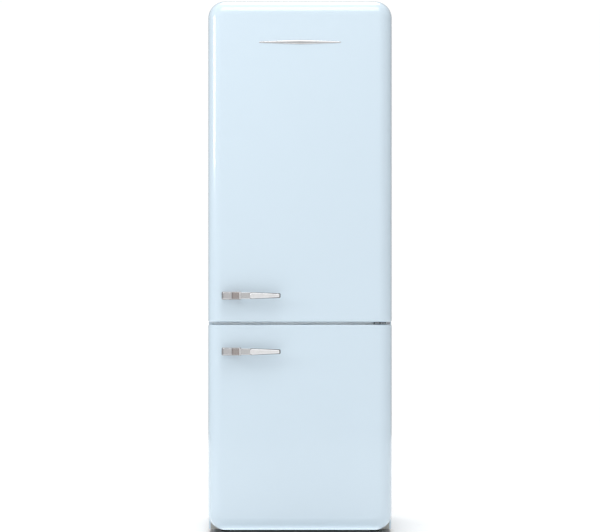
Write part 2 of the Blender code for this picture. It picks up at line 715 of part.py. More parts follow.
def make_cabinet_foam():
    """Foam between the steel outside and the two liners."""
    skin = SHEET + FIT
    y_low = Y_FACE + MOULDING + FIT
    y_high = Y_BACK - skin
    foam = arch("cabinet_foam", HALF - skin, BASE_TOP + FIT, HEIGHT - skin, y_low, y_high,
                CORNER - skin, FOAM)
    reach = MOULDING + FIT
    fridge = block("fridge_void",
                   (-FRIDGE_HALF - reach, Y_FACE - PAST, FRIDGE_FLOOR - reach),
                   (FRIDGE_HALF + reach, INNER_BACK + reach, FRIDGE_TOP + reach),
                   None, 1, LINER_ROUND + reach)
    freezer = outline("freezer_void", freezer_section(reach, Y_FACE - PAST),
                      -FREEZER_HALF - reach, FREEZER_HALF + reach)
    machine = block("machine_void", (-WIDTH, MACHINE_FRONT - skin, 0),
                    (WIDTH, Y_BACK + PAST, MACHINE_TOP + skin))
    plinth = block("plinth_void", (-WIDTH, Y_FACE - PAST, 0),
                   (WIDTH, Y_FACE + PLINTH_DEPTH + FIT, PLINTH_TOP + FIT))
    rail = block("rail_void", (-FLANGE_HALF - FIT, Y_FACE - PAST, SPLIT - RAIL_HEIGHT / 2 - FIT),
                 (FLANGE_HALF + FIT, Y_FACE + RAIL_DEPTH + FIT, SPLIT + RAIL_HEIGHT / 2 + FIT))
    cut(foam, fridge, freezer, machine, plinth, rail)
    for side in (-1, 1):
        middle = SCREW_TOP + SCREW_POCKET - SCREW_POCKET_DEPTH / 2
        cut(foam, cylinder("screw_pocket", SCREW_RADIUS + SCREW_POCKET, SCREW_POCKET_DEPTH,
                           (side * FOOT_X, FOOT_Y, middle)))


# ---------------------------------------------------------------- feet, rollers, hinges
def make_feet():
    for name, side in (("foot_left", -1), ("foot_right", 1)):
        profile = [(0, SCREW_TOP), (SCREW_RADIUS, SCREW_TOP), (SCREW_RADIUS, SCREW_START),
                   (FOOT_COLLAR, FOOT_COLLAR_HEIGHT), (FOOT_RADIUS, FOOT_EDGE),
                   (FOOT_RADIUS, 0), (0, 0)]
        turned(name, profile, BLACK_PLASTIC, (side * FOOT_X, FOOT_Y, 0))


def make_rollers():
    end = ROLLER_X + ROLLER_WIDTH / 2 + EAR_SHEET + AXLE_END
    cylinder("rear_axle", AXLE_RADIUS, 2 * end, (0, AXLE_Y, ROLLER_RADIUS), "X", GREY_STEEL)
    bore = AXLE_RADIUS + AXLE_CLEARANCE
    half = ROLLER_WIDTH / 2
    rim = ROLLER_RADIUS - ROLLER_CHAMFER
    profile = [(bore, half), (rim, half), (ROLLER_RADIUS, half - ROLLER_CHAMFER),
               (ROLLER_RADIUS, ROLLER_CHAMFER - half), (rim, -half), (bore, -half)]
    for name, side in (("roller_left", -1), ("roller_right", 1)):
        turned(name, profile, BLACK_PLASTIC, (side * ROLLER_X, AXLE_Y, ROLLER_RADIUS), "X",
               20, ring=True)


def make_side_hinge(name, height):
    """A plate on the cabinet's front with an arm into the door's side, and the pin in it."""
    half = ARM_WIDTH / 2
    low = PIVOT.x - half
    hinge = block(name, (low, PIVOT.y - half, height - ARM_SHEET / 2),
                  (PIVOT.x + half, Y_FACE - FIT - HINGE_PLATE / 2, height + ARM_SHEET / 2),
                  GREY_STEEL, 2, half * ARM_ROUND, 4)
    plate = block("hinge_plate",
                  (low, Y_FACE - FIT - HINGE_PLATE, height - HINGE_PLATE_HEIGHT / 2),
                  (PIVOT.x + half, Y_FACE - FIT, height + HINGE_PLATE_HEIGHT / 2))
    length = ARM_SHEET + 2 * (ARM_CLEARANCE + PIN_LENGTH)
    pin = cylinder("hinge_pin", PIN_RADIUS, length, (PIVOT.x, PIVOT.y, height))
    join(hinge, plate, pin)


def make_centre_hinge():
    """A plate between the doors, with one pin up into the upper door and down into the lower."""
    half = ARM_WIDTH / 2
    plate = block("centre_hinge",
                  (PIVOT.x + half - MIDDLE_HINGE_WIDTH, PIVOT.y - half, SPLIT - ARM_SHEET / 2),
                  (PIVOT.x + half, Y_FACE - FIT, SPLIT + ARM_SHEET / 2), DARK_STEEL,
                  2, half * ARM_ROUND, 4)
    pin = cylinder("centre_pin", PIN_RADIUS, DOOR_GAP + 2 * PIN_LENGTH,
                   (PIVOT.x, PIVOT.y, SPLIT))
    join(plate, pin)


def arm_slot(height):
    """Room in a door for a hinge arm, from straight back round to the door's side."""
    margin = ARM_WIDTH / 2 + ARM_CLEARANCE
    rise = ARM_SHEET / 2 + ARM_CLEARANCE
    return as_cutter(block("arm_slot", (PIVOT.x - margin, PIVOT.y - SLOT_REACH, height - rise),
                           (HALF + PAST, Y_DOOR_BACK + PAST, height + rise)))


def pin_bore(height, reach):
    return as_cutter(cylinder("pin_bore", PIN_BORE, 2 * (reach + FIT),
                              (PIVOT.x, PIVOT.y, height)))


# ---------------------------------------------------------------- doors
def make_door(side, z_low, z_high, rounded, seal_low, dyke, dyke_low, dyke_high, inner_half,
              hinge_height):
    """Steel skin, foam, plastic inside and magnetic seal; the hinge's slot and bores go
    through all that they meet. Returns the pieces."""
    skin = door_solid(f"{side}_door_skin", 0, z_low, z_high, rounded, ENAMEL)
    hollow = door_solid("skin_hollow", SHEET, z_low, z_high, rounded, None, Y_DOOR_BACK + PAST)
    cut(skin, hollow)
    foam = door_solid(f"{side}_door_foam", SHEET + FIT, z_low, z_high, rounded, FOAM,
                      Y_DOOR_BACK - MOULDING - FIT)
    inset = SHEET + FIT
    liner = arch(f"{side}_door_liner", HALF - inset, z_low + inset, z_high - inset,
                 Y_DOOR_BACK - MOULDING, Y_DOOR_BACK, CORNER - inset, WHITE_PLASTIC, rounded)
    outer = inner_half - DYKE_CLEARANCE
    inner = outer - DYKE_WIDTH
    frame = block("dyke", (-outer, Y_DOOR_BACK - MOULDING / 2, dyke_low),
                  (outer, Y_DOOR_BACK + dyke, dyke_high), None, 1, LINER_ROUND)
    middle = block("dyke_middle", (-inner, Y_DOOR_BACK, dyke_low + DYKE_WIDTH),
                   (inner, Y_DOOR_BACK + PAST, dyke_high - DYKE_WIDTH))
    cut(join(liner, frame), middle)
    seal_z = (z_low + seal_low, z_high - SEAL_INSET)
    seal = arch(f"{side}_door_gasket", HALF - SEAL_INSET, *seal_z, Y_DOOR_BACK + FIT,
                Y_FACE - FIT, CORNER - SEAL_INSET, SEAL_RUBBER, rounded)
    bore = arch("seal_mouth", HALF - SEAL_INSET - SEAL_WIDTH, seal_z[0] + SEAL_WIDTH,
                seal_z[1] - SEAL_WIDTH, Y_DOOR_BACK - PAST, Y_FACE + PAST,
                CORNER - SEAL_INSET - SEAL_WIDTH, None, rounded)
    cut(seal, bore)
    slot = arm_slot(hinge_height)
    outer_bore = pin_bore(hinge_height, ARM_SHEET / 2 + ARM_CLEARANCE + PIN_LENGTH)
    inner_bore = pin_bore(SPLIT, DOOR_GAP / 2 + PIN_LENGTH)
    cut_with(skin, slot, inner_bore)
    cut_with(foam, slot, outer_bore, inner_bore)
    cut_with(liner, slot)
    return [skin, foam, liner, seal]


def make_handle(side, height):
    """A cast mount on the door and a tapered lever that stands off the face."""
    left = -HALF + HANDLE_LEFT
    plate_half = MOUNT_HEIGHT / 2 + MOUNT_PLATE_BORDER
    mount = block(f"{side}_handle_mount", (left, Y_DOOR_FACE - FIT - MOUNT_PLATE,
                                           height - plate_half),
                  (left + MOUNT_LENGTH, Y_DOOR_FACE - FIT, height + plate_half), CHROME,
                  1, MOUNT_ROUND, 2)
    low = height - MOUNT_HEIGHT / 2
    high = height + MOUNT_HEIGHT / 2
    neck_end = left + MOUNT_LENGTH - NECK_INSET
    neck = block("handle_neck", (left + NECK_INSET, Y_HANDLE, low),
                 (neck_end, Y_DOOR_FACE - MOUNT_PLATE / 2, high), None, 2, NECK_ROUND, 4)
    join(mount, neck)
    start = neck_end + FIT
    front = Y_HANDLE + LEVER_SETBACK
    lever = block(f"{side}_handle_lever", (start, front, low),
                  (neck_end + LEVER_LENGTH, front + LEVER_THICKNESS, high), CHROME)
    narrow = LEVER_TIP_HEIGHT / MOUNT_HEIGHT
    shape = bmesh.new()
    shape.from_mesh(lever.data)
    for vertex in shape.verts:
        if vertex.co.x > 0:
            vertex.co.z *= narrow
    tip = [e for e in shape.edges if all(v.co.x > 0 for v in e.verts)
           and abs(e.verts[0].co.y - e.verts[1].co.y) > 1e-6]
    bmesh.ops.bevel(shape, geom=tip, offset=LEVER_TIP_ROUND, segments=3, profile=0.5,
                    affect="EDGES")
    shape.to_mesh(lever.data)
    shape.free()
    root = block("lever_root", (start, front, low + ROOT_STEP),
                 (start + ROOT_LENGTH, front + ROOT_DEPTH, high - ROOT_STEP),
                 None, 2, ROOT_ROUND, 3)
    join(lever, root)
    return [mount, lever]


def make_badge():
    """A plain bar that tapers to both ends."""
    height = HEIGHT - BADGE_BELOW_TOP
    bar = block("door_badge", (-BADGE_WIDTH / 2, Y_DOOR_FACE - FIT - BADGE_THICKNESS,
                               height - BADGE_HEIGHT / 2),
                (BADGE_WIDTH / 2, Y_DOOR_FACE - FIT, height + BADGE_HEIGHT / 2), CHROME)
    shape = bmesh.new()
    shape.from_mesh(bar.data)
    middle = [e for e in shape.edges if abs(e.verts[0].co.x - e.verts[1].co.x) > 1e-6]
    bmesh.ops.subdivide_edges(shape, edges=middle, cuts=1)
    for vertex in shape.verts:
        if abs(vertex.co.x) > 1e-6:
            vertex.co.z *= BADGE_TIP / BADGE_HEIGHT
    shape.to_mesh(bar.data)
    shape.free()
    return [bar]


def tray(name, low, high, wall, finish, radius=TRAY_ROUND):
    """An open-topped box with round upright corners."""
    outer = block(name, low, high, finish, 2, radius)
    inside_low = Vector(low) + Vector((wall, wall, wall))
    inside_high = Vector(high) + Vector((-wall, -wall, PAST))
    cut(outer, block(name + "_space", inside_low, inside_high, None, 2, radius - wall))
    return outer


def make_bins():
    """Open bins on the upper door, and the lid of the top one, which tips up on its back edge."""
    half = FRIDGE_HALF - DYKE_CLEARANCE - DYKE_WIDTH - FIT
    made = []
    for name, (bottom, height) in BINS.items():
        made.append(tray(name, (-half, Y_DOOR_BACK + FIT, bottom),
                         (half, Y_DOOR_BACK + BIN_REACH, bottom + height), BIN_WALL,
                         CLEAR_PLASTIC))
    lid = block("dairy_lid", (-half, LID_AXIS.y, DAIRY_LID_Z),
                (half, Y_DOOR_BACK + BIN_REACH, DAIRY_LID_Z + LID_SHEET), CLEAR_PLASTIC)
    barrel = cylinder("lid_barrel", LID_BARREL, 2 * half, LID_AXIS, "X", None, 12)
    join(lid, barrel)
    move_origin(lid, LID_AXIS)
    return made + [lid]


def make_upper_door():
    pivot = pivot_empty("upper_door_pivot", (PIVOT.x, PIVOT.y, UPPER_BOTTOM))
    pieces = make_door("upper", UPPER_BOTTOM, HEIGHT, "top", SEAL_INSET, FRIDGE_DYKE,
                       FRIDGE_FLOOR + DYKE_CLEARANCE, FRIDGE_TOP - DYKE_CLEARANCE,
                       FRIDGE_HALF, UPPER_HINGE_Z)
    pieces += make_handle("upper", SPLIT + HANDLE_RISE)
    pieces += make_badge()
    pieces += make_bins()
    hang_on(pivot, *pieces)


def make_lower_door():
    pivot = pivot_empty("lower_door_pivot", (PIVOT.x, PIVOT.y, DOOR_CLEARANCE))
    pieces = make_door("lower", DOOR_CLEARANCE, LOWER_TOP, "bottom", PLINTH_SEAL_INSET,
                       FREEZER_DYKE, FREEZER_FLOOR + DYKE_CLEARANCE,
                       FREEZER_TOP - DYKE_CLEARANCE, FREEZER_HALF, LOWER_HINGE_Z)
    pieces += make_handle("lower", SPLIT - HANDLE_RISE)
    hang_on(pivot, *pieces)


# ---------------------------------------------------------------- inside the fridge
def make_shelves():
    half = FRIDGE_HALF - FIT
    for name, height in SHELF_HEIGHTS.items():
        if name != "bottle_rack":
            block(name, (-half, SHELF_FRONT, height + FIT),
                  (half, SHELF_BACK, height + FIT + SHELF), GLASS, 2, SHELF_ROUND, 2)


def make_bottle_rack():
    """One chromed wire, bent into waves from side to side and back, that cradles bottles."""
    height = SHELF_HEIGHTS["bottle_rack"] + FIT + RACK_WIRE
    half = FRIDGE_HALF - 2 * RACK_WIRE
    front = SHELF_FRONT + RACK_INSET
    back = SHELF_BACK - RACK_INSET
    flat = LEDGE + RACK_FLAT
    span = 2 * (half - flat)
    steps = RACK_WAVES * WAVE_STEPS

    def wave(place):
        phase = place / steps * RACK_WAVES * 2 * math.pi
        return -half + flat + span * place / steps, height + RACK_RISE / 2 * (1 - math.cos(phase))

    row = [(-half, height)] + [wave(i) for i in range(steps + 1)] + [(half, height)]
    points = [(x, front, z) for x, z in row] + [(x, back, z) for x, z in reversed(row)]
    tube("bottle_rack", points, RACK_WIRE, CHROME)


def make_drawer(name, low, high, finish):
    """A drawer with a grip along the top of its front."""
    drawer = tray(name, low, high, DRAWER_WALL, finish, DRAWER_ROUND)
    middle = (low[0] + high[0]) / 2
    grip = block("grip", (middle - GRIP_HALF, low[1] - GRIP_REACH, high[2] - GRIP_HEIGHT),
                 (middle + GRIP_HALF, low[1] + DRAWER_WALL / 2, high[2] - GRIP_HEIGHT / 2),
                 None, 0, GRIP_ROUND, 2)
    join(drawer, grip)


def make_fridge_drawers():
    half = FRIDGE_HALF - FRIDGE_DRAWER_INSET
    floor = FRIDGE_FLOOR + FIT
    top = SHELF_HEIGHTS["crisper_lid"] - LEDGE_HEIGHT - DRAWER_CLEARANCE
    back = SHELF_BACK - DRAWER_CLEARANCE
    make_drawer("crisper_left", (-half, SHELF_FRONT, floor),
                (-CRISPER_SPLIT / 2, back, top), CLEAR_PLASTIC)
    make_drawer("crisper_right", (CRISPER_SPLIT / 2, SHELF_FRONT, floor), (half, back, top),
                CLEAR_PLASTIC)
    bottom = SHELF_HEIGHTS["crisper_lid"] + FIT + SHELF + FIT
    make_drawer("chiller_drawer", (-half, SHELF_FRONT, bottom),
                (half, back, bottom + CHILLER_HEIGHT), CLEAR_PLASTIC)


def make_air_duct():
    """A moulded duct up the back wall, with a slot that blows over each shelf."""
    top = FRIDGE_TOP - DUCT_BELOW_TOP
    duct = block("air_duct", (-DUCT_HALF, INNER_BACK - DUCT_DEPTH, DUCT_BOTTOM),
                 (DUCT_HALF, INNER_BACK - FIT, top), WHITE_PLASTIC, 2, DUCT_ROUND)
    pitch = (top - DUCT_BOTTOM) / DUCT_SLOTS
    half = DUCT_HALF * DUCT_SLOT_SHARE
    front = INNER_BACK - DUCT_DEPTH
    for number in range(DUCT_SLOTS):
        middle = DUCT_BOTTOM + pitch * (number + 0.5)
        cut(duct, block("duct_slot", (-half, front - PAST, middle - DUCT_SLOT_HALF),
                        (half, front + DUCT_SLOT_DEPTH, middle + DUCT_SLOT_HALF)))


def make_controls():
    """Thermostat housing on the ceiling: its dial, its button and the lamp cover behind."""
    panel = block("control_panel", (-PANEL_HALF, PANEL_FRONT, PANEL_BOTTOM),
                  (PANEL_HALF, PANEL_BACK, FRIDGE_TOP - FIT), WHITE_PLASTIC, 2, PANEL_ROUND)
    seat = cylinder("button_bore", BUTTON_RADIUS + BUTTON_CLEARANCE, CONTROL_BORE,
                    (BUTTON_X, PANEL_FRONT, CONTROL_Z), "Y")
    spindle = cylinder("spindle_bore", SPINDLE_RADIUS + BUTTON_CLEARANCE, CONTROL_BORE,
                       (DIAL_X, PANEL_FRONT, CONTROL_Z), "Y")
    cut(panel, seat, spindle)
    block("lamp_cover", (-PANEL_HALF, PANEL_BACK + FIT, PANEL_BOTTOM + LAMP_RISE),
          (PANEL_HALF, PANEL_BACK + LAMP_DEPTH, FRIDGE_TOP - FIT), CLEAR_PLASTIC, 0, LAMP_ROUND)
    dial = turned("temperature_dial",
                  [(0, DIAL_DEPTH), (DIAL_RADIUS - DIAL_CHAMFER, DIAL_DEPTH),
                   (DIAL_RADIUS, DIAL_EDGE), (DIAL_RADIUS, FIT), (SPINDLE_RADIUS, FIT),
                   (SPINDLE_RADIUS, -CONTROL_STEM), (0, -CONTROL_STEM)],
                  WHITE_PLASTIC, (DIAL_X, PANEL_FRONT, CONTROL_Z), "Z", 20)
    dial.rotation_euler = (math.pi / 2, 0, 0)
    dial_face = PANEL_FRONT - DIAL_DEPTH
    reach = DIAL_RADIUS * FIN_SHARE
    fin = block("dial_fin", (DIAL_X - FIN_HALF, dial_face - FIN_PROUD, CONTROL_Z - reach),
                (DIAL_X + FIN_HALF, dial_face + FIN_PROUD / 2, CONTROL_Z + reach))
    join(dial, fin)
    button = turned("fast_cool_button",
                    [(0, BUTTON_PROUD), (BUTTON_RADIUS - BUTTON_CHAMFER, BUTTON_PROUD),
                     (BUTTON_RADIUS, BUTTON_PROUD - BUTTON_CHAMFER),
                     (BUTTON_RADIUS, -CONTROL_STEM), (0, -CONTROL_STEM)],
                    WHITE_PLASTIC, (BUTTON_X, PANEL_FRONT, CONTROL_Z), "Z", 16)
    button.rotation_euler = (math.pi / 2, 0, 0)


# ---------------------------------------------------------------- inside the freezer
def make_evaporator_cover():
    """The freezer's false back, with the fan's mouth above and return slots below."""
    cover = block("evaporator_cover",
                  (-FREEZER_HALF + FIT, EVAPORATOR_FACE - COVER_SHEET, STEP_TOP + FIT),
                  (FREEZER_HALF - FIT, EVAPORATOR_FACE, FREEZER_TOP - FIT), WHITE_PLASTIC)
    mouth = cylinder("fan_mouth", FAN_RADIUS + FAN_CLEARANCE, PAST,
                     (0, EVAPORATOR_FACE, FAN_Z), "Y", None, 24)
    cut(cover, mouth)
    half = FREEZER_HALF * RETURN_SLOT_SHARE
    for number in range(RETURN_SLOTS):
        low = STEP_TOP + RETURN_SLOT_RISE + RETURN_SLOT_PITCH * number
        cut(cover, block("return_slot", (-half, EVAPORATOR_FACE - PAST, low),
                         (half, EVAPORATOR_FACE + PAST, low + RETURN_SLOT_HEIGHT)))


def make_fan():
    hub = cylinder("fan_rotor", HUB_RADIUS, FAN_BLADE_DEPTH,
                   (0, FAN_FACE + FAN_BLADE_DEPTH / 2, FAN_Z), "Y", BLACK_PLASTIC, 16)
    for number in range(FAN_BLADES):
        turn = Matrix.Rotation(number * 2 * math.pi / FAN_BLADES, 4, "Y")
        blade = block("fan_blade",
                      (HUB_RADIUS * BLADE_ROOT, -FAN_BLADE_DEPTH / 2, -FAN_BLADE_SHEET / 2),
                      (FAN_RADIUS, FAN_BLADE_DEPTH / 2, FAN_BLADE_SHEET / 2))
        pitch = Matrix.Rotation(math.radians(FAN_PITCH), 4, "X")
        place = Matrix.Translation((0, FAN_FACE + FAN_BLADE_DEPTH / 2, FAN_Z))
        blade.matrix_world = place @ turn @ pitch @ Matrix.Translation(blade.location)
        join(hub, blade)
    bore = cylinder("shaft_bore", SHAFT_RADIUS + AXLE_CLEARANCE, SHAFT_LENGTH,
                    (0, FAN_FACE + FAN_BLADE_DEPTH, FAN_Z), "Y", None, 12)
    cut(hub, bore)


def make_fan_motor():
    """The motor behind the fan, its shaft, and the strut that holds it."""
    start = FAN_FACE + FAN_BLADE_DEPTH + MOTOR_GAP
    motor = cylinder("fan_motor", MOTOR_RADIUS, MOTOR_LENGTH,
                     (0, start + MOTOR_LENGTH / 2, FAN_Z), "Y", BLACK_STEEL, 16)
    shaft = cylinder("fan_shaft", SHAFT_RADIUS, SHAFT_LENGTH, (0, start, FAN_Z), "Y", None, 12)
    front = start + STRUT_SETBACK
    strut = block("motor_strut", (-STRUT_HALF, front, FAN_Z - STRUT_HEIGHT / 2),
                  (STRUT_HALF, front + STRUT_SHEET, FAN_Z + STRUT_HEIGHT / 2))
    join(motor, shaft, strut)


def make_evaporator():
    """A block of upright fins on a backbone."""
    pitch = (2 * COIL_HALF - FIN_SHEET) / (COIL_FINS - 1)
    back = INNER_BACK - COIL_TO_BACK
    front = back - COIL_DEPTH
    points = [(back, -COIL_HALF)]
    for number in range(COIL_FINS):
        low = -COIL_HALF + pitch * number
        points += [(front, low), (front, low + FIN_SHEET)]
        if number < COIL_FINS - 1:
            points += [(back - COIL_BACKBONE, low + FIN_SHEET), (back - COIL_BACKBONE, low + pitch)]
    points.append((back, COIL_HALF))
    bottom = STEP_TOP + COIL_RISE
    coil = outline("evaporator", points, bottom, bottom + COIL_HEIGHT, ALUMINIUM)
    middle = bottom + COIL_HEIGHT / 2
    coil.matrix_world = Matrix(((0, 1, 0, 0), (1, 0, 0, 0), (0, 0, 1, middle), (0, 0, 0, 1)))


def make_freezer_drawers():
    half = FREEZER_HALF - FREEZER_DRAWER_INSET
    for name, (floor, ceiling, limit) in DRAWERS.items():
        make_drawer(name, (-half, FREEZER_FRONT, floor + FIT),
                    (half, limit - DRAWER_BACK_CLEARANCE, ceiling - DRAWER_CLEARANCE),
                    CLEAR_PLASTIC)


# ---------------------------------------------------------------- machine space and back
def make_compressor():
    """A pressed can in two halves, joined at a rolled seam, on its mounting plate."""
    base = BASE_TOP + COMPRESSOR_RISE
    height = COMPRESSOR_TOP - base
    middle = height / 2
    radius = COMPRESSOR_RADIUS
    seam = radius + SEAM_PROUD
    profile = [(0, height), (radius * 0.45, height - 0.004), (radius * 0.80, height - 0.022),
               (radius * 0.96, height - 0.048), (radius, middle + SEAM_PROUD),
               (seam, middle + SEAM_HALF), (seam, middle - SEAM_HALF),
               (radius, middle - SEAM_PROUD), (radius * 0.97, 0.030), (radius * 0.80, 0.008),
               (radius * 0.5, 0), (0, 0)]
    can = turned("compressor", profile, BLACK_STEEL, (COMPRESSOR_X, COMPRESSOR_Y, base), "Z", 24)
    long_half, deep_half = COMPRESSOR_FOOT
    foot = block("compressor_foot",
                 (COMPRESSOR_X - long_half, COMPRESSOR_Y - deep_half, BASE_TOP + FIT),
                 (COMPRESSOR_X + long_half, COMPRESSOR_Y + deep_half, base + SHEET),
                 None, 2, COMPRESSOR_FOOT_ROUND)
    join(can, foot)


def make_drip_tray():
    tray("drip_tray",
         (COMPRESSOR_X - TRAY_HALF, MACHINE_FRONT + TRAY_FRONT, COMPRESSOR_TOP + TRAY_OVER_CAN),
         (COMPRESSOR_X + TRAY_HALF, Y_BACK - TRAY_BACK, MACHINE_TOP - TRAY_UNDER_HOOD),
         TRAY_SHEET, BLACK_PLASTIC)


def make_power_inlet():
    """The junction box that the mains lead enters, with its socket to the back."""
    back = Y_BACK - INLET_SETBACK
    box = block("power_inlet", (INLET_X - INLET_HALF, back - INLET_DEPTH, BASE_TOP + FIT),
                (INLET_X + INLET_HALF, back, BASE_TOP + INLET_HEIGHT), BLACK_PLASTIC,
                1, INLET_ROUND, 2)
    cut(box, block("inlet_socket",
                   (INLET_X - SOCKET_HALF, back - SOCKET_DEPTH, BASE_TOP + SOCKET_LOW),
                   (INLET_X + SOCKET_HALF, Y_BACK + PAST, BASE_TOP + SOCKET_HIGH)))


def make_filter_drier():
    shoulder = DRIER_HALF - DRIER_TAPER
    turned("filter_drier",
           [(0, DRIER_HALF), (DRIER_NECK, DRIER_HALF), (DRIER_RADIUS, shoulder),
            (DRIER_RADIUS, -shoulder), (DRIER_NECK, -DRIER_HALF), (0, -DRIER_HALF)],
           COPPER, (DRIER_X, COMPRESSOR_Y - DRIER_FORWARD, BASE_TOP + DRIER_RISE), "Z", 16)


def make_discharge_pipe():
    """Out of the compressor, up, and round to the condenser's foot."""
    start = COMPRESSOR_X + COMPRESSOR_RADIUS + PIPE_CLEARANCE
    riser = start + 3 * PIPE_BEND
    tube("discharge_pipe",
         [(start, COMPRESSOR_Y, PIPE_LOW), (start + 2 * PIPE_BEND, COMPRESSOR_Y, PIPE_LOW),
          (riser, COMPRESSOR_Y, PIPE_LOW + PIPE_BEND),
          (riser, COMPRESSOR_Y, PIPE_HIGH - PIPE_BEND),
          (riser + PIPE_BEND, COMPRESSOR_Y + 0.006, PIPE_HIGH),
          (TUBE_HALF - 0.050, COMPRESSOR_Y + 0.040, PIPE_HIGH),
          (TUBE_HALF - PIPE_BEND, TUBE_Y - 0.030, PIPE_HIGH),
          (TUBE_HALF, TUBE_Y - 0.008, PIPE_HIGH + 0.003),
          (TUBE_HALF, TUBE_Y, PIPE_JOINT - 0.004), (TUBE_HALF, TUBE_Y, PIPE_JOINT)],
         PIPE_RADIUS, COPPER)


def make_condenser():
    """One tube that runs from side to side up the back."""
    points = [(TUBE_HALF, TUBE_Y, PIPE_JOINT + FIT), (TUBE_HALF, TUBE_Y, TUBE_BOTTOM)]
    bend = TUBE_PITCH / 2
    for number in range(TUBE_PASSES):
        height = TUBE_BOTTOM + number * TUBE_PITCH
        side = 1 if number % 2 == 0 else -1
        points.append((-side * (TUBE_HALF - bend), TUBE_Y, height))
        if number < TUBE_PASSES - 1:
            for step in range(1, BEND_STEPS + 1):
                angle = -math.pi / 2 + math.pi * step / BEND_STEPS
                points.append((-side * (TUBE_HALF - bend + bend * math.cos(angle)), TUBE_Y,
                               height + bend + bend * math.sin(angle)))
    tube("condenser_tube", points, PIPE_RADIUS, BLACK_STEEL)


# ---------------------------------------------------------------- the whole object
make_cabinet_wrapper()
make_back_panel()
make_base_frame()
make_plinth()
make_centre_rail()
make_fridge_liner()
make_freezer_liner()
make_cabinet_foam()
make_feet()
make_rollers()
make_side_hinge("upper_hinge", UPPER_HINGE_Z)
make_side_hinge("lower_hinge", LOWER_HINGE_Z)
make_centre_hinge()
make_upper_door()
make_lower_door()
make_shelves()
make_bottle_rack()
make_fridge_drawers()
make_air_duct()
make_controls()
make_evaporator_cover()
make_fan()
make_fan_motor()
make_evaporator()
make_freezer_drawers()
make_compressor()
make_drip_tray()
make_power_inlet()
make_filter_drier()
make_discharge_pipe()
make_condenser()
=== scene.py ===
"""Looks for the tall refrigerator: enamelled sheet, chrome, plastics, glass, and what is inside."""

import json
import math

import bmesh
import bpy
from mathutils import Matrix, Vector

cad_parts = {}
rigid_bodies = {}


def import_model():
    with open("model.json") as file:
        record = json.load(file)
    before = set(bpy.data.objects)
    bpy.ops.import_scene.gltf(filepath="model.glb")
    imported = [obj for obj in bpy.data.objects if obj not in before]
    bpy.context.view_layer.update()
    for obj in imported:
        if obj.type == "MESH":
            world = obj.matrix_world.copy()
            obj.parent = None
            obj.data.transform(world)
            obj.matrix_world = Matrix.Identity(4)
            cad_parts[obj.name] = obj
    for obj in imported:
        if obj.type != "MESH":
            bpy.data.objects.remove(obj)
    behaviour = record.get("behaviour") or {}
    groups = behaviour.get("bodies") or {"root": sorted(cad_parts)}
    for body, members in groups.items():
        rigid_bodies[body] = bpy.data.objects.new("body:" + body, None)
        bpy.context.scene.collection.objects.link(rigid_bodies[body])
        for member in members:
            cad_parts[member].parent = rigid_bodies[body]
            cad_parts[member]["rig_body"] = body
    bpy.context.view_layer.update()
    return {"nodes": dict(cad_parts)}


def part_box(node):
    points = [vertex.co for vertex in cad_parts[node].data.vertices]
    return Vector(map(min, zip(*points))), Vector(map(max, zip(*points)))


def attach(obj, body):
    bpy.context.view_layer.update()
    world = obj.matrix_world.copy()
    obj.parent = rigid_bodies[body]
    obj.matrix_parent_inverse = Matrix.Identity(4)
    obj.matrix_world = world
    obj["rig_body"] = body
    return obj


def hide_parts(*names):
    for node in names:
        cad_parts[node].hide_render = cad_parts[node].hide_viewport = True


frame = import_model()

# ---------------------------------------------------------------- places read from the frame
UPPER_LOW, UPPER_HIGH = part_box("upper_door_skin")
LOWER_LOW, LOWER_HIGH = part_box("lower_door_skin")
CABINET_LOW, CABINET_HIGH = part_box("cabinet_wrapper")
SPLIT = (UPPER_LOW.z + LOWER_HIGH.z) / 2
HALF = CABINET_HIGH.x
DOOR_FACE = UPPER_LOW.y
SHEET = 0.0012               # how thick the steel sheet looks
CORNER = 0.065               # outline corners of the doors and the cabinet
EDGE = 0.052                 # rounding of a door from its side to its face
GAP_EDGE = 0.005             # rounding of a door's end at the gap
FLANGE = 0.018               # turned-in front edge of the cabinet sheet
REAR_FLANGE = 0.010          # turned-in edge at the back
SHEET_BEND = 0.0025          # radius where the sheet turns
HOOD_DEPTH = 0.215           # machine space hood, forward from the back panel
SOCKET_RISE = 0.0245         # middle of the mains socket above the inlet's lower edge
# Section of a door seal: millimetres in from the edge, millimetres deep.
SEAL_SECTION = ((2, 0), (20, 0), (20, 1.6), (17, 3.0), (19.6, 4.6), (17, 6.2), (19, 7.4),
                (22, 7.8), (22, 10.6), (21, 11), (1, 11), (0, 10.6), (0, 7.8), (3, 7.4),
                (5, 6.2), (2.4, 4.6), (5, 3.0), (2, 1.6))
SHELVES = ("glass_shelf_1", "glass_shelf_2", "glass_shelf_3", "crisper_lid")

# ---------------------------------------------------------------- camera, floor, light
FRAME_WIDTH = 2.3106         # what the picture's width spans at the doors' widest plane
FRAME_MIDDLE = 1.0318        # height of the picture's middle
CAMERA_DISTANCE = 9.0
SENSOR = 36.0
FLOOR_RADIUS = 5.0


def make_camera():
    lens = bpy.data.cameras.new("front_camera")
    lens.sensor_width = SENSOR
    lens.lens = SENSOR * CAMERA_DISTANCE / FRAME_WIDTH
    lens.clip_end = 100
    camera = bpy.data.objects.new("front_camera", lens)
    camera.location = (0, DOOR_FACE + EDGE - CAMERA_DISTANCE, FRAME_MIDDLE)
    camera.rotation_euler = (math.pi / 2, 0, 0)
    bpy.context.scene.collection.objects.link(camera)
    bpy.context.scene.camera = camera


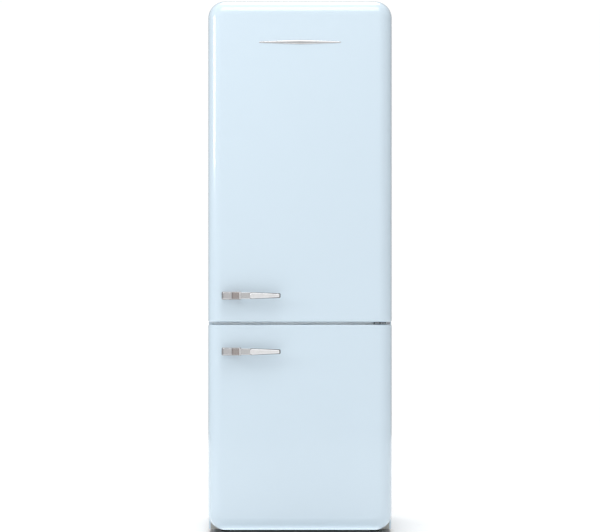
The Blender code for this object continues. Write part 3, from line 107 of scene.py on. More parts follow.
def lamp(name, kind, power, at, towards, **settings):
    """A lamp aimed at a point, which the camera doesn't see."""
    light = bpy.data.lights.new(name, kind)
    light.energy = power
    for label, value in settings.items():
        setattr(light, label, value)
    holder = bpy.data.objects.new(name, light)
    holder.location = at
    aim = Vector(towards) - Vector(at)
    holder.rotation_euler = aim.to_track_quat("-Z", "Y").to_euler()
    holder.visible_camera = False
    bpy.context.scene.collection.objects.link(holder)


def soft_box(name, width, height, power, at, towards):
    lamp(name, "AREA", power, at, towards, shape="RECTANGLE", size=width, size_y=height)


# ---------------------------------------------------------------- shader arithmetic
class Value:
    """A node's output, with arithmetic on it."""

    def __init__(self, graph, node, output=0):
        self.graph = graph
        self.node = node
        self.socket = node.outputs[output]

    def output(self, which):
        return Value(self.graph, self.node, which)

    def math(self, operation, first, second):
        return self.graph.add("ShaderNodeMath", {"operation": operation}, {0: first, 1: second})

    def __add__(self, other):
        return self.math("ADD", self, other)

    def __sub__(self, other):
        return self.math("SUBTRACT", self, other)

    def __rsub__(self, other):
        return self.math("SUBTRACT", other, self)

    def __mul__(self, other):
        return self.math("MULTIPLY", self, other)

    __radd__ = __add__
    __rmul__ = __mul__


class Graph:
    """A node tree under construction."""

    def __init__(self, tree):
        self.tree = tree

    def add(self, kind, settings=None, sockets=None, output=0):
        """Any node: its type, its settings, then the values or links of its sockets."""
        node = self.tree.nodes.new(kind)
        for label, value in (settings or {}).items():
            if label == "stops":
                self.set_stops(node.color_ramp, value)
            else:
                setattr(node, label, value)
        for label, value in (sockets or {}).items():
            self.put(node.inputs[label], value)
        return Value(self, node, output)

    def set_stops(self, ramp, stops):
        while len(ramp.elements) < len(stops):
            ramp.elements.new(1)
        for element, (place, colour) in zip(ramp.elements, stops):
            element.position = place
            element.color = (*colour, 1)

    def put(self, socket, value):
        if isinstance(value, Value):
            self.tree.links.new(value.socket, socket)
        else:
            socket.default_value = value


class Finish(Graph):
    """A surface's material under construction."""

    def __init__(self, name, **constant):
        self.material = bpy.data.materials.new(name)
        self.material.use_nodes = True
        super().__init__(self.material.node_tree)
        self.shader = self.tree.nodes["Principled BSDF"]
        for label, value in constant.items():
            self.shader.inputs[label.replace("_", " ")].default_value = value

    def set(self, label, value):
        self.put(self.shader.inputs[label], value)

    def place(self, stretch=(1, 1, 1)):
        """Where a point is on its piece, in metres, stretched along each axis."""
        spot = self.add("ShaderNodeTexCoord", output=3)
        if stretch == (1, 1, 1):
            return spot
        return self.add("ShaderNodeVectorMath", {"operation": "MULTIPLY"}, {0: spot, 1: stretch})

    def noise(self, scale, detail=2.0, stretch=(1, 1, 1), roughness=0.5):
        return self.add("ShaderNodeTexNoise", None,
                        {"Vector": self.place(stretch), "Scale": scale, "Detail": detail,
                         "Roughness": roughness})

    def ramp(self, value, low, high, dark=(0, 0, 0), light=(1, 1, 1)):
        """Runs from one colour to another as a value goes from low to high."""
        return self.add("ShaderNodeValToRGB", {"stops": [(low, dark), (high, light)]},
                        {"Fac": value})

    def mix(self, factor, first, second):
        """Between two colours."""
        return self.add("ShaderNodeMix", {"data_type": "RGBA"},
                        {0: factor, 6: first, 7: second}, output=2)

    def bump(self, height, distance, strength=1.0):
        shape = self.add("ShaderNodeBump", None,
                         {"Height": height, "Distance": distance, "Strength": strength})
        self.set("Normal", shape)


def tint(colour, factor=1.0):
    return (*(min(1.0, part * factor) for part in colour), 1.0)


# ---------------------------------------------------------------- finishes
ENAMEL_BLUE = (0.570, 0.680, 0.764)


def make_enamel():
    """Sprayed and baked enamel under a clear coat, with a faint orange peel."""
    f = Finish("pale_blue_enamel", Roughness=0.22, Coat_Weight=0.7, Coat_Roughness=0.06)
    drift = f.noise(1.3, 2.0)
    f.set("Base Color", f.mix(drift, tint(ENAMEL_BLUE, 0.99), tint(ENAMEL_BLUE, 1.012)))
    wiped = f.noise(9.0, 4.0, (1.0, 1.0, 0.35))
    f.set("Roughness", wiped * 0.10 + 0.17)
    f.bump(f.noise(260.0, 1.0), 0.00004, 0.35)
    return f.material


def make_chrome(name="polished_chrome", grey=0.80, roughness=0.07, cast=(0.99, 0.99, 1.0)):
    """Plated and buffed metal: fine buffing lines and a few dull wiped places."""
    f = Finish(name, Metallic=1.0)
    handled = f.ramp(f.noise(38.0, 3.0), 0.40, 0.72)
    f.set("Base Color", f.mix(handled, tint(cast, grey), tint(cast, grey * 0.94)))
    lines = f.noise(900.0, 2.0, (0.06, 1.0, 1.0))
    f.set("Roughness", lines * 0.05 + handled * 0.05 + roughness - 0.02)
    f.bump(lines, 0.00001, 0.2)
    return f.material


def make_steel(name, colour, grain=(0.02, 1.0, 1.0), roughness=0.34, metallic=0.85):
    """Rolled steel with its grain along one axis, and light scuffs."""
    f = Finish(name, Metallic=metallic)
    along = f.noise(700.0, 3.0, grain)
    scuffs = f.ramp(f.noise(55.0, 5.0), 0.55, 0.75)
    f.set("Base Color", f.mix(along, tint(colour, 0.90), tint(colour, 1.08)))
    f.set("Roughness", along * 0.10 + scuffs * 0.08 + roughness - 0.06)
    f.bump(along, 0.00003, 0.4)
    return f.material


def make_galvanised():
    """Zinc coated sheet with its spangle."""
    f = Finish("galvanised_sheet", Metallic=0.9)
    flakes = f.add("ShaderNodeTexVoronoi", {"feature": "F1"},
                   {"Vector": f.place(), "Scale": 90.0}, output=1)
    tone = f.add("ShaderNodeSeparateColor", None, {"Color": flakes})
    f.set("Base Color", f.mix(tone, tint((0.55, 0.57, 0.59)), tint((0.66, 0.68, 0.70))))
    f.set("Roughness", tone * 0.16 + 0.30)
    f.bump(f.noise(160.0, 2.0), 0.00005, 0.3)
    return f.material


def make_paint(name, colour, roughness=0.42, grain_size=620.0, depth=0.00006, wear=0.10):
    """Powder coat: a fine pebbled skin, slightly uneven."""
    f = Finish(name)
    pebbles = f.noise(grain_size, 2.0)
    patches = f.noise(14.0, 3.0)
    f.set("Base Color", f.mix(patches, tint(colour, 1.0 - wear), tint(colour, 1.0 + wear)))
    f.set("Roughness", pebbles * 0.14 + patches * 0.08 + roughness - 0.10)
    f.bump(pebbles, depth, 0.5)
    return f.material


def make_plastic(name, colour, roughness=0.30, pebble=0.00002, warm=0.012):
    """Moulded plastic: a faint flow tone and a satin skin with fine grain."""
    f = Finish(name, IOR=1.48)
    flow = f.noise(4.0, 3.0, (1.0, 1.0, 0.5))
    grain = f.noise(1100.0, 2.0)
    f.set("Base Color", f.mix(flow, tint(colour, 1.0 - warm), tint(colour, 1.0 + warm)))
    f.set("Roughness", grain * 0.08 + flow * 0.06 + roughness - 0.06)
    f.bump(grain, pebble, 0.4)
    return f.material


def make_clear(name, colour, alpha, roughness=0.10):
    """Clear moulded plastic: part of the light goes through and dust shows; it turns less
    see-through where its surface is seen edge-on, a painted edge sheen.
    """
    f = Finish(name, IOR=1.50, Coat_Weight=0.3)
    dust = f.noise(30.0, 4.0)
    # rim: the facing share of the view; it raises the opacity edge-on so the pale colour shows
    # there as a painted edge sheen
    rim = f.add("ShaderNodeLayerWeight", None, {"Blend": 0.35}, output=1)
    f.set("Base Color", f.mix(dust, tint(colour, 0.97), tint(colour, 1.02)))
    f.set("Roughness", dust * 0.08 + roughness)
    f.set("Alpha", rim * (0.95 - alpha) + dust * 0.04 + alpha)
    f.bump(f.noise(240.0, 1.0), 0.00002, 0.2)
    return f.material


def make_seal_rubber():
    """Soft extruded vinyl, matt, with a chalky bloom in patches."""
    f = Finish("seal_vinyl")
    bloom = f.noise(70.0, 4.0)
    f.set("Base Color", f.mix(bloom, tint((0.34, 0.36, 0.38)), tint((0.44, 0.46, 0.48))))
    f.set("Roughness", bloom * 0.15 + 0.58)
    f.bump(f.noise(1500.0, 2.0), 0.00004, 0.5)
    return f.material


def make_foam():
    """Cut polyurethane foam: cream, with open cells."""
    f = Finish("insulating_foam", Roughness=0.95)
    cells = f.add("ShaderNodeTexVoronoi", {"feature": "F1"},
                  {"Vector": f.place(), "Scale": 420.0})
    f.set("Base Color", f.mix(f.noise(20.0, 3.0), tint((0.78, 0.66, 0.38)),
                              tint((0.86, 0.76, 0.50))))
    f.bump(cells, 0.0008, 0.8)
    return f.material


def make_copper():
    """Drawn copper tube, tarnished in patches."""
    f = Finish("tarnished_copper", Metallic=1.0)
    tarnish = f.ramp(f.noise(60.0, 4.0), 0.42, 0.70)
    f.set("Base Color", f.mix(tarnish, tint((0.80, 0.45, 0.30)), tint((0.40, 0.22, 0.15))))
    f.set("Roughness", tarnish * 0.25 + 0.20)
    f.bump(f.noise(500.0, 2.0), 0.00003, 0.3)
    return f.material


def make_floor_finish():
    """Plain pale studio floor."""
    f = Finish("studio_floor", Roughness=0.7, Specular_IOR_Level=0.2)
    cloud = f.noise(0.8, 3.0)
    f.set("Base Color", f.mix(cloud, tint((0.94, 0.94, 0.94)), tint((0.96, 0.96, 0.96))))
    return f.material


ENAMEL = make_enamel()
CHROME = make_chrome()
# Centre rail steel, pale, bluish and only faintly metallic so that the rail deep in the shaded gap
# between the doors reads lighter: painted light over a real grain
RAIL_STEEL_PAINTED_LIGHT = make_steel("grained_rail_steel_painted_light", (0.66, 0.74, 0.80), metallic=0.15)
PIN_STEEL = make_steel("turned_pin_steel", (0.62, 0.63, 0.65), (1.0, 1.0, 0.03), 0.28, 1.0)
GALVANISED = make_galvanised()
GREY_PAINT = make_paint("grey_powder_coat", (0.36, 0.355, 0.33), 0.45)
BLACK_STEEL = make_paint("black_hinge_steel", (0.010, 0.013, 0.017), 0.55)
DARK_PAINT = make_paint("dark_powder_coat", (0.028, 0.034, 0.042), 0.40)
BLACK_ENAMEL = make_paint("black_stove_enamel", (0.014, 0.014, 0.016), 0.30, 300.0)
WHITE_PLASTIC = make_plastic("white_liner_plastic", (0.80, 0.825, 0.84), 0.26)
BLACK_PLASTIC = make_plastic("black_moulding", (0.022, 0.022, 0.024), 0.45, 0.00006, 0.10)
CLEAR_PLASTIC = make_clear("clear_moulding", (0.80, 0.88, 0.93), 0.32)
FROSTED_PLASTIC = make_clear("frosted_moulding", (0.86, 0.90, 0.92), 0.62, 0.35)
SHELF_GLASS = make_clear("toughened_glass", (0.66, 0.84, 0.80), 0.24, 0.03)
SEAL_RUBBER = make_seal_rubber()
FOAM = make_foam()
COPPER = make_copper()
SATIN_CHROME = make_chrome("satin_chrome", 0.63, 0.22)
# Bright copy of the chrome, lighter than the chrome beside it: on the handle it paints a highlight
# on the lever face and its pin
BRIGHT_CHROME = make_chrome("bright_chrome", 0.98, 0.16)
# Copy of the chrome darkened to paint the shade of the dark outline round the lever face
DARK_CHROME_PAINTED_SHADE = make_chrome("dark_chrome_painted_shade", 0.20, 0.22)
# Copy of the chrome darkened to paint the shade on the handle housing; its warm cast paints a
# brownish reflection
WARM_CHROME_PAINTED_SHADE = make_chrome("warm_chrome_painted_shade", 0.40, 0.20, (1.10, 1.0, 0.97))
PLATE_CHROME = make_chrome("plate_chrome", 0.50, 0.16)
BLOCK_CHROME = make_chrome("block_chrome", 0.64, 0.18, (1.0, 0.99, 1.01))
WHITE_TRIM = make_plastic("white_trim_plastic", (0.86, 0.87, 0.88), 0.20)
GREY_PLASTIC = make_plastic("grey_moulding", (0.36, 0.38, 0.40), 0.40, 0.00005)
TYRE_RUBBER = make_paint("tyre_rubber", (0.05, 0.05, 0.052), 0.72, 1400.0, 0.00010)
FIN_ALUMINIUM = make_steel("fin_aluminium", (0.78, 0.79, 0.80), (1.0, 1.0, 0.05), 0.30, 1.0)


# ---------------------------------------------------------------- making pieces
def finish_piece(name, shape, finish, body, replaces=(), smooth=35.0, weighted=False):
    """Turns a bmesh into a shaded piece that rides on a body."""
    mesh = bpy.data.meshes.new(name)
    bmesh.ops.recalc_face_normals(shape, faces=shape.faces)
    shape.to_mesh(mesh)
    shape.free()
    mesh.materials.append(finish)
    mesh.shade_smooth()
    mesh.set_sharp_from_angle(angle=math.radians(smooth))
    piece = bpy.data.objects.new(name, mesh)
    bpy.context.scene.collection.objects.link(piece)
    if weighted:
        even = piece.modifiers.new("even_normals", "WEIGHTED_NORMAL")
        even.keep_sharp = True
    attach(piece, body)
    if replaces:
        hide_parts(*replaces)
    return piece


def slab(low, high, edge=0.0008, upright=None, radius=0.0, steps=6, edge_steps=2):
    """A box between two corners with softened edges; the edges along one axis can be rounder."""
    low, high = Vector(low), Vector(high)
    shape = bmesh.new()
    bmesh.ops.create_cube(shape, size=1)
    bmesh.ops.scale(shape, vec=high - low, verts=shape.verts)
    if upright is not None:
        along = [e for e in shape.edges
                 if abs((e.verts[0].co - e.verts[1].co)[upright]) > 1e-6]
        bmesh.ops.bevel(shape, geom=along, offset=radius, segments=steps, profile=0.5,
                        affect="EDGES")
    if edge:
        sharp = [e for e in shape.edges if e.calc_face_angle(0) > 0.7]
        bmesh.ops.bevel(shape, geom=sharp, offset=edge, segments=edge_steps, profile=0.5,
                        affect="EDGES")
    bmesh.ops.translate(shape, vec=(low + high) / 2, verts=shape.verts)
    return shape


def add_shape(target, other, matrix=None):
    """Adds one bmesh's faces to another."""
    if matrix is not None:
        bmesh.ops.transform(other, matrix=matrix, verts=other.verts)
    mesh = bpy.data.meshes.new("joined")
    other.to_mesh(mesh)
    other.free()
    target.from_mesh(mesh)
    bpy.data.meshes.remove(mesh)
    return target


def turned(profile, steps=32):
    """A turned shape about Z from (radius, height) points; a radius of 0 closes an end."""
    shape = bmesh.new()
    rings = []
    for radius, height in profile:
        if radius < 1e-7:
            rings.append([shape.verts.new((0, 0, height))])
        else:
            rings.append([shape.verts.new((radius * math.cos(2 * math.pi * i / steps),
                                           radius * math.sin(2 * math.pi * i / steps), height))
                          for i in range(steps)])
    for first, second in zip(rings, rings[1:]):
        for i in range(steps):
            j = (i + 1) % steps
            corners = [first[i % len(first)], first[j % len(first)],
                       second[j % len(second)], second[i % len(second)]]
            unique = list(dict.fromkeys(corners))
            if len(unique) > 2:
                shape.faces.new(unique)
    return shape


FACING = {"+Z": Matrix.Identity(4), "-Z": Matrix.Rotation(math.pi, 4, "X"),
          "-Y": Matrix.Rotation(math.pi / 2, 4, "X"), "+Y": Matrix.Rotation(-math.pi / 2, 4, "X"),
          "+X": Matrix.Rotation(math.pi / 2, 4, "Y"), "-X": Matrix.Rotation(-math.pi / 2, 4, "Y")}


def facing(at, direction):
    return Matrix.Translation(Vector(at)) @ FACING[direction]


def screw_head(radius, height):
    """A pan head with a shallow round recess, seat at the origin, looking along +Z."""
    dome = [(0, height * 0.72), (radius * 0.30, height * 0.72), (radius * 0.34, height),
            (radius * 0.70, height * 0.86), (radius * 0.95, height * 0.45), (radius, 0.0)]
    return turned(dome, 20)


def screws(name, places, direction, radius, height, finish, body):
    shape = bmesh.new()
    for at in places:
        add_shape(shape, screw_head(radius, height), facing(at, direction))
    return finish_piece(name, shape, finish, body)


def filleted(points, radius, steps=6, closed=False):
    """A path whose corners are replaced by arcs."""
    points = [Vector(p) for p in points]
    path = []
    count = len(points)
    for i, corner in enumerate(points):
        if not closed and i in (0, count - 1):
            path.append(corner)
            continue
        before = points[i - 1] - corner
        after = points[(i + 1) % count] - corner
        angle = before.angle(after)
        if angle > math.pi - 0.02:
            path.append(corner)
            continue
        reach = min(radius / math.tan(angle / 2), before.length * 0.49, after.length * 0.49)
        bend = reach * math.tan(angle / 2)
        middle = corner + (before.normalized() + after.normalized()).normalized() * (
            bend / math.sin(angle / 2))
        first = corner + before.normalized() * reach - middle
        turn = math.pi - angle
        axis = first.cross(corner + after.normalized() * reach - middle).normalized()
        for step in range(steps + 1):
            path.append(middle + Matrix.Rotation(turn * step / steps, 3, axis) @ first)
    return path


def wire_shape(points, radius, sides=10, closed=False):
    """A round wire along a path, with capped ends, as a bmesh."""
    shape = bmesh.new()
    count = len(points)
    rings = []
    side = None
    for i, point in enumerate(points):
        ahead = points[(i + 1) % count] if closed or i < count - 1 else point
        behind = points[i - 1] if closed or i > 0 else point
        along = (ahead - behind).normalized()
        if side is None:
            side = along.orthogonal().normalized()
        side = (side - along * side.dot(along)).normalized()
        other = along.cross(side)
        rings.append([shape.verts.new(point + radius * (
            math.cos(2 * math.pi * k / sides) * side + math.sin(2 * math.pi * k / sides) * other))
            for k in range(sides)])
    pairs = list(zip(rings, rings[1:]))
    if closed:
        pairs.append((rings[-1], rings[0]))
    for first, second in pairs:
        for k in range(sides):
            n = (k + 1) % sides
            shape.faces.new((first[k], first[n], second[n], second[k]))
    if not closed:
        shape.faces.new(rings[0][::-1])
        shape.faces.new(rings[-1])
    return shape


# ---------------------------------------------------------------- doors
def cut_away(piece, boxes):
    """Cuts boxes out of a piece and applies the cuts."""
    for low, high in boxes:
        mesh = bpy.data.meshes.new("cut")
        shape = slab(low, high, 0)
        shape.to_mesh(mesh)
        shape.free()
        tool = bpy.data.objects.new("cut", mesh)
        bpy.context.scene.collection.objects.link(tool)
        step = piece.modifiers.new("cut", "BOOLEAN")
        step.operation = "DIFFERENCE"
        step.object = tool
        bpy.context.view_layer.update()
        seen = piece.evaluated_get(bpy.context.evaluated_depsgraph_get())
        whole = bpy.data.meshes.new_from_object(seen)
        piece.modifiers.remove(step)
        piece.data = whole
        bpy.data.objects.remove(tool)


def door_sheet(name, low, high, rounded, body, replaced, hinge):
    """The pressed and enamelled outside of a door: wide rounding to the face, tight at the gap."""
    shape = bmesh.new()
    bmesh.ops.create_cube(shape, size=1)
    size = high - low
    bmesh.ops.scale(shape, vec=size, verts=shape.verts)
    side = 1 if rounded == "top" else -1
    corners = [e for e in shape.edges
               if abs(e.verts[0].co.y - e.verts[1].co.y) > 1e-6 and side * e.verts[0].co.z > 0]
    bmesh.ops.bevel(shape, geom=corners, offset=CORNER, segments=24, profile=0.5, affect="EDGES")

    def at_flat_end(edge):
        return all(abs(v.co.z + side * size.z / 2) < 1e-6 for v in edge.verts)

    front = [e for e in shape.edges
             if all(abs(v.co.y + size.y / 2) < 1e-6 for v in e.verts) and not at_flat_end(e)]
    bmesh.ops.bevel(shape, geom=front, offset=EDGE, segments=18, profile=0.5, affect="EDGES",
                    clamp_overlap=False)
    back = [f for f in shape.faces if f.normal.y > 0.999]
    bmesh.ops.delete(shape, geom=back, context="FACES_ONLY")
    end = [e for e in shape.edges if at_flat_end(e) and not e.is_boundary]
    bmesh.ops.bevel(shape, geom=end, offset=GAP_EDGE, segments=5, profile=0.5, affect="EDGES",
                    clamp_overlap=False)
    bmesh.ops.translate(shape, vec=(low + high) / 2, verts=shape.verts)
    sheet = finish_piece(name, shape, ENAMEL, body, (replaced,), 40.0)
    thick = sheet.modifiers.new("sheet", "SOLIDIFY")
    thick.thickness = SHEET
    thick.offset = -1
    bpy.context.view_layer.update()
    seen = sheet.evaluated_get(bpy.context.evaluated_depsgraph_get())
    sheet.data = bpy.data.meshes.new_from_object(seen)
    sheet.modifiers.remove(thick)
    cut_away(sheet, hinge)
    even = sheet.modifiers.new("even_normals", "WEIGHTED_NORMAL")
    even.keep_sharp = True
    return sheet


def arm_slot(hinge):
    """The box in a door's side that its hinge arm turns in."""
    low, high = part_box(hinge)
    middle = (low.z + high.z) / 2
    return (Vector((low.x - 0.002, low.y - 0.0155, middle - 0.0045)),
            Vector((high.x + 0.05, high.y + 0.05, middle + 0.0045)))


def make_door_sheets():
    door_sheet("upper_door_sheet", UPPER_LOW, UPPER_HIGH, "top", "upper_door",
               "upper_door_skin", [arm_slot("upper_hinge")])
    door_sheet("lower_door_sheet", LOWER_LOW, LOWER_HIGH, "bottom", "lower_door",
               "lower_door_skin", [arm_slot("lower_hinge")])


# ---------------------------------------------------------------- cabinet sheet
def arch_line(inset, y, low_z, high_z, steps=20):
    """The cabinet's outline, bottom left over the top to bottom right, at an inset."""
    half = HALF - inset
    top = high_z - inset
    radius = max(CORNER - inset, 0.001)
    line = [Vector((-half, y, low_z))]
    for side in (-1, 1):
        for i in range(steps + 1):
            turn = math.pi / 2 * i / steps
            if side < 0:
                line.append(Vector((-half + radius * (1 - math.cos(turn)), y,
                                    top - radius + radius * math.sin(turn))))
            else:
                line.append(Vector((half - radius * (1 - math.sin(turn)), y,
                                    top - radius + radius * math.cos(turn))))
    line.append(Vector((half, y, low_z)))
    return line


def loft(lines, closed=False):
    shape = bmesh.new()
    rows = [[shape.verts.new(p) for p in line] for line in lines]
    for first, second in zip(rows, rows[1:]):
        count = len(first)
        for i in range(count if closed else count - 1):
            j = (i + 1) % count
            shape.faces.new((first[i], first[j], second[j], second[i]))
    return shape


def make_cabinet_sheet():
    """Sides and top bent from one sheet, turned in at the front and at the back."""
    front, back = CABINET_LOW.y, CABINET_HIGH.y
    bend = [(SHEET_BEND * (1 - math.sin(math.pi / 2 * i / 4)),
             SHEET_BEND * (1 - math.cos(math.pi / 2 * i / 4))) for i in range(5)]
    section = [(FLANGE, front)] + [(inset, front + deep) for inset, deep in bend]
    section += [(inset, back - deep) for inset, deep in reversed(bend)]
    section += [(REAR_FLANGE, back)]
    lines = [arch_line(inset, y, CABINET_LOW.z, CABINET_HIGH.z) for inset, y in section]
    sheet = finish_piece("cabinet_sheet", loft(lines), ENAMEL, "cabinet",
                         ("cabinet_wrapper",), 40.0)
    thick = sheet.modifiers.new("sheet", "SOLIDIFY")
    thick.thickness = SHEET
    thick.offset = -1
    even = sheet.modifiers.new("even_normals", "WEIGHTED_NORMAL")
    even.keep_sharp = True
    return sheet


# ---------------------------------------------------------------- shared shapes
def ring_loop(half, z_low, z_high, radius, rounded, tight=0.003, steps=10):
    """A closed (x, z) outline with two round corners at one end and tight ones at the other."""
    top_radius, low_radius = (radius, tight) if rounded == "top" else (tight, radius)
    corners = [(half - low_radius, z_low + low_radius, low_radius, -90),
               (half - top_radius, z_high - top_radius, top_radius, 0),
               (-half + top_radius, z_high - top_radius, top_radius, 90),
               (-half + low_radius, z_low + low_radius, low_radius, 180)]
    loop = []
    for x, z, r, start in corners:
        for i in range(steps + 1):
            turn = math.radians(start + 90 * i / steps)
            loop.append((x + r * math.cos(turn), z + r * math.sin(turn)))
    return loop


def swept_frame(profile, half, z_low, z_high, radius, rounded):
    """Sweeps a closed section of (inset, y) points round a door's outline."""
    shape = bmesh.new()
    rows = []
    for inset, y in profile:
        loop = ring_loop(half - inset, z_low + inset, z_high - inset,
                         max(radius - inset, 0.004), rounded)
        rows.append([shape.verts.new((x, y, z)) for x, z in loop])
    rows.append(rows[0])
    for first, second in zip(rows, rows[1:]):
        for i in range(len(first)):
            j = (i + 1) % len(first)
            shape.faces.new((first[i], first[j], second[j], second[i]))
    return shape


def softened(node, finish, width=0.0012, steps=2, limit=35.0):
    """A CAD node's shape with its sharp edges eased, standing for the node."""
    shape = bmesh.new()
    shape.from_mesh(frame["nodes"][node].data)
    bmesh.ops.remove_doubles(shape, verts=shape.verts, dist=2e-6)
    bmesh.ops.dissolve_limit(shape, angle_limit=math.radians(0.5), verts=shape.verts,
                             edges=shape.edges)
    sharp = [e for e in shape.edges if len(e.link_faces) == 2
             and e.calc_face_angle(0) > math.radians(limit)]
    bmesh.ops.bevel(shape, geom=sharp, offset=width, segments=steps, profile=0.5,
                    affect="EDGES", clamp_overlap=True)
    body = frame["nodes"][node]["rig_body"]
    return finish_piece(node + "_eased", shape, finish, body, (node,), 40.0, True)


def boxes(name, corners, finish, body, slot, edge=0.0008, **how):
    """Several softened boxes as one piece."""
    shape = bmesh.new()
    for low, high in corners:
        add_shape(shape, slab(low, high, edge, **how))
    return finish_piece(name, shape, finish, body, weighted=True)


def middle(node):
    low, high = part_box(node)
    return (low + high) / 2


# ---------------------------------------------------------------- handles and badge
def lever_shape(low, high, ratio, edge, tip_radius):
    """A flat bar that tapers along +X, with a round tip and softened edges."""
    low, high = Vector(low), Vector(high)
    shape = bmesh.new()
    bmesh.ops.create_cube(shape, size=1)
    bmesh.ops.scale(shape, vec=high - low, verts=shape.verts)
    for vertex in shape.verts:
        if vertex.co.x > 0:
            vertex.co.z *= ratio
    ends = [e for e in shape.edges if abs(e.verts[0].co.y - e.verts[1].co.y) > 1e-6]
    tip = [e for e in ends if e.verts[0].co.x > 0]
    root = [e for e in ends if e.verts[0].co.x < 0]
    bmesh.ops.bevel(shape, geom=tip, offset=tip_radius[1], segments=6, profile=0.5,
                    affect="EDGES")
    if tip_radius[0]:
        bmesh.ops.bevel(shape, geom=root, offset=tip_radius[0], segments=6, profile=0.5,
                        affect="EDGES")
    sharp = [e for e in shape.edges if e.calc_face_angle(0) > 0.7]
    bmesh.ops.bevel(shape, geom=sharp, offset=edge, segments=3, profile=0.5, affect="EDGES")
    bmesh.ops.translate(shape, vec=(low + high) / 2, verts=shape.verts)
    return shape


def plan_solid(outline, z_low, z_high, edge):
    """A plan outline of (x, y) points raised between two heights, with softened rims."""
    shape = bmesh.new()
    base = shape.faces.new([shape.verts.new((x, y, z_low)) for x, y in outline])
    raised = bmesh.ops.extrude_face_region(shape, geom=[base])
    top = [v for v in raised["geom"] if isinstance(v, bmesh.types.BMVert)]
    bmesh.ops.translate(shape, vec=(0, 0, z_high - z_low), verts=top)
    rims = [e for e in shape.edges if abs(e.verts[0].co.z - e.verts[1].co.z) < 1e-7]
    bmesh.ops.bevel(shape, geom=rims, offset=edge, segments=3, profile=0.5, affect="EDGES")
    return shape


def make_handle(side):
    body = side + "_door"
    low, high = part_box(side + "_handle_mount")
    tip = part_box(side + "_handle_lever")[1].x
    z = (low.z + high.z) / 2
    left, right, front, back = low.x, high.x, low.y, high.y
    plate = slab((left, back - 0.0045, z - 0.0158), (right + 0.002, back, z + 0.0146), 0.0012,
                 1, 0.004, 6, 3)
    finish_piece(side + "_handle_plate", plate, PLATE_CHROME, body, weighted=True)
    half = 0.0128
    outline = [(left + 0.001, back - 0.003)]
    outline += [(left + 0.0010 + 0.013 * (1 - math.cos(math.pi / 2 * i / 8)),
                 front + 0.004 + 0.015 * (1 - math.sin(math.pi / 2 * i / 8)))
                for i in range(9)]
    outline += [(left + 0.014 + 0.026 * i / 8, front + 0.004 * (1 - i / 8) ** 2)
                for i in range(1, 9)]
    outline += [(left + 0.041, back - 0.003)]
    block = plan_solid(outline, z - half, z + half, 0.0018)
    finish_piece(side + "_handle_block", block, BLOCK_CHROME, body,
                 (side + "_handle_mount",), 30.0, True)
    # the housing's darker, warm chrome is painted shade with a painted brownish reflection
    housing = slab((left + 0.0412, front + 0.0028, z - half + 0.0006),
                   (right - 0.0045, back - 0.003, z + half - 0.0006), 0.0012, edge_steps=3)
    finish_piece(side + "_handle_housing", housing, WARM_CHROME_PAINTED_SHADE, body,
                 weighted=True)
    # the pin's bright chrome paints the bright line of a highlight between housing and collar
    pin = turned([(0, -half), (0.0024, -half), (0.0030, 0.0006 - half), (0.0030, half - 0.0006),
                  (0.0024, half), (0, half)], 24)
    bmesh.ops.translate(pin, vec=(right - 0.0028, front + 0.0038, z), verts=pin.verts)
    finish_piece(side + "_handle_pin", pin, BRIGHT_CHROME, body)
    face = front + 0.001
    start = right - 0.0002
    blade = start + 0.0385
    root = slab((start, face + 0.0022, z - 0.0122), (blade + 0.004, face + 0.020, z + 0.0122),
                0.0020, edge_steps=4)
    finish_piece(side + "_handle_collar", root, SATIN_CHROME, body, weighted=True)
    # the frame's dark chrome is painted shade for the outline round the lever face
    frame_shape = lever_shape((blade - 0.001, face + 0.0012, z - 0.0128),
                              (tip, face + 0.0118, z + 0.0128), 0.68, 0.0016, (0.0, 0.0045))
    finish_piece(side + "_lever_frame", frame_shape, DARK_CHROME_PAINTED_SHADE, body,
                 (side + "_handle_lever",), 30.0, True)
    insert = lever_shape((blade - 0.003, face - 0.0009, z - 0.0112),
                         (tip - 0.0040, face + 0.0040, z + 0.0112), 0.54, 0.0013,
                         (0.0085, 0.0030))
    finish_piece(side + "_lever_face", insert, BRIGHT_CHROME, body, weighted=True)


def make_badge():
    """A plain crowned bar that thins out to both ends."""
    low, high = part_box("door_badge")
    z = (low.z + high.z) / 2
    reach, tall, thick = high.x, (high.z - low.z) / 2, high.y - low.y
    shape = bmesh.new()
    rings = []
    for i in range(49):
        x = reach * (i / 24 - 1)
        share = 1 - abs(x) / reach
        height = 0.0022 + (tall - 0.0022) * share ** 0.85
        crown = 0.0010 + (thick - 0.0010) * share ** 0.6
        ring = [(-1, 0), (-1, 0.35), (-0.86, 0.7), (-0.55, 0.92), (0, 1), (0.55, 0.92),
                (0.86, 0.7), (1, 0.35), (1, 0)]
        rings.append([shape.verts.new((x, high.y - crown * d, z + height * u))
                      for u, d in ring])
    for first, second in zip(rings, rings[1:]):
        for k in range(len(first)):
            n = (k + 1) % len(first)
            shape.faces.new((first[k], first[n], second[n], second[k]))
    shape.faces.new(rings[0])
    shape.faces.new(rings[-1][::-1])
    finish_piece("badge_bar", shape, SATIN_CHROME, "upper_door", ("door_badge",),
                 50.0)


# ---------------------------------------------------------------- seals and hinges
def make_seals():
    for side, rounded in (("upper", "top"), ("lower", "bottom")):
        low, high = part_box(side + "_door_gasket")
        profile = [(inset / 1000, low.y + deep / 1000) for inset, deep in SEAL_SECTION]
        shape = swept_frame(profile, high.x, low.z, high.z, CORNER - 0.020, rounded)
        finish_piece(side + "_door_seal", shape, SEAL_RUBBER, side + "_door",
                     (side + "_door_gasket",), 25.0)


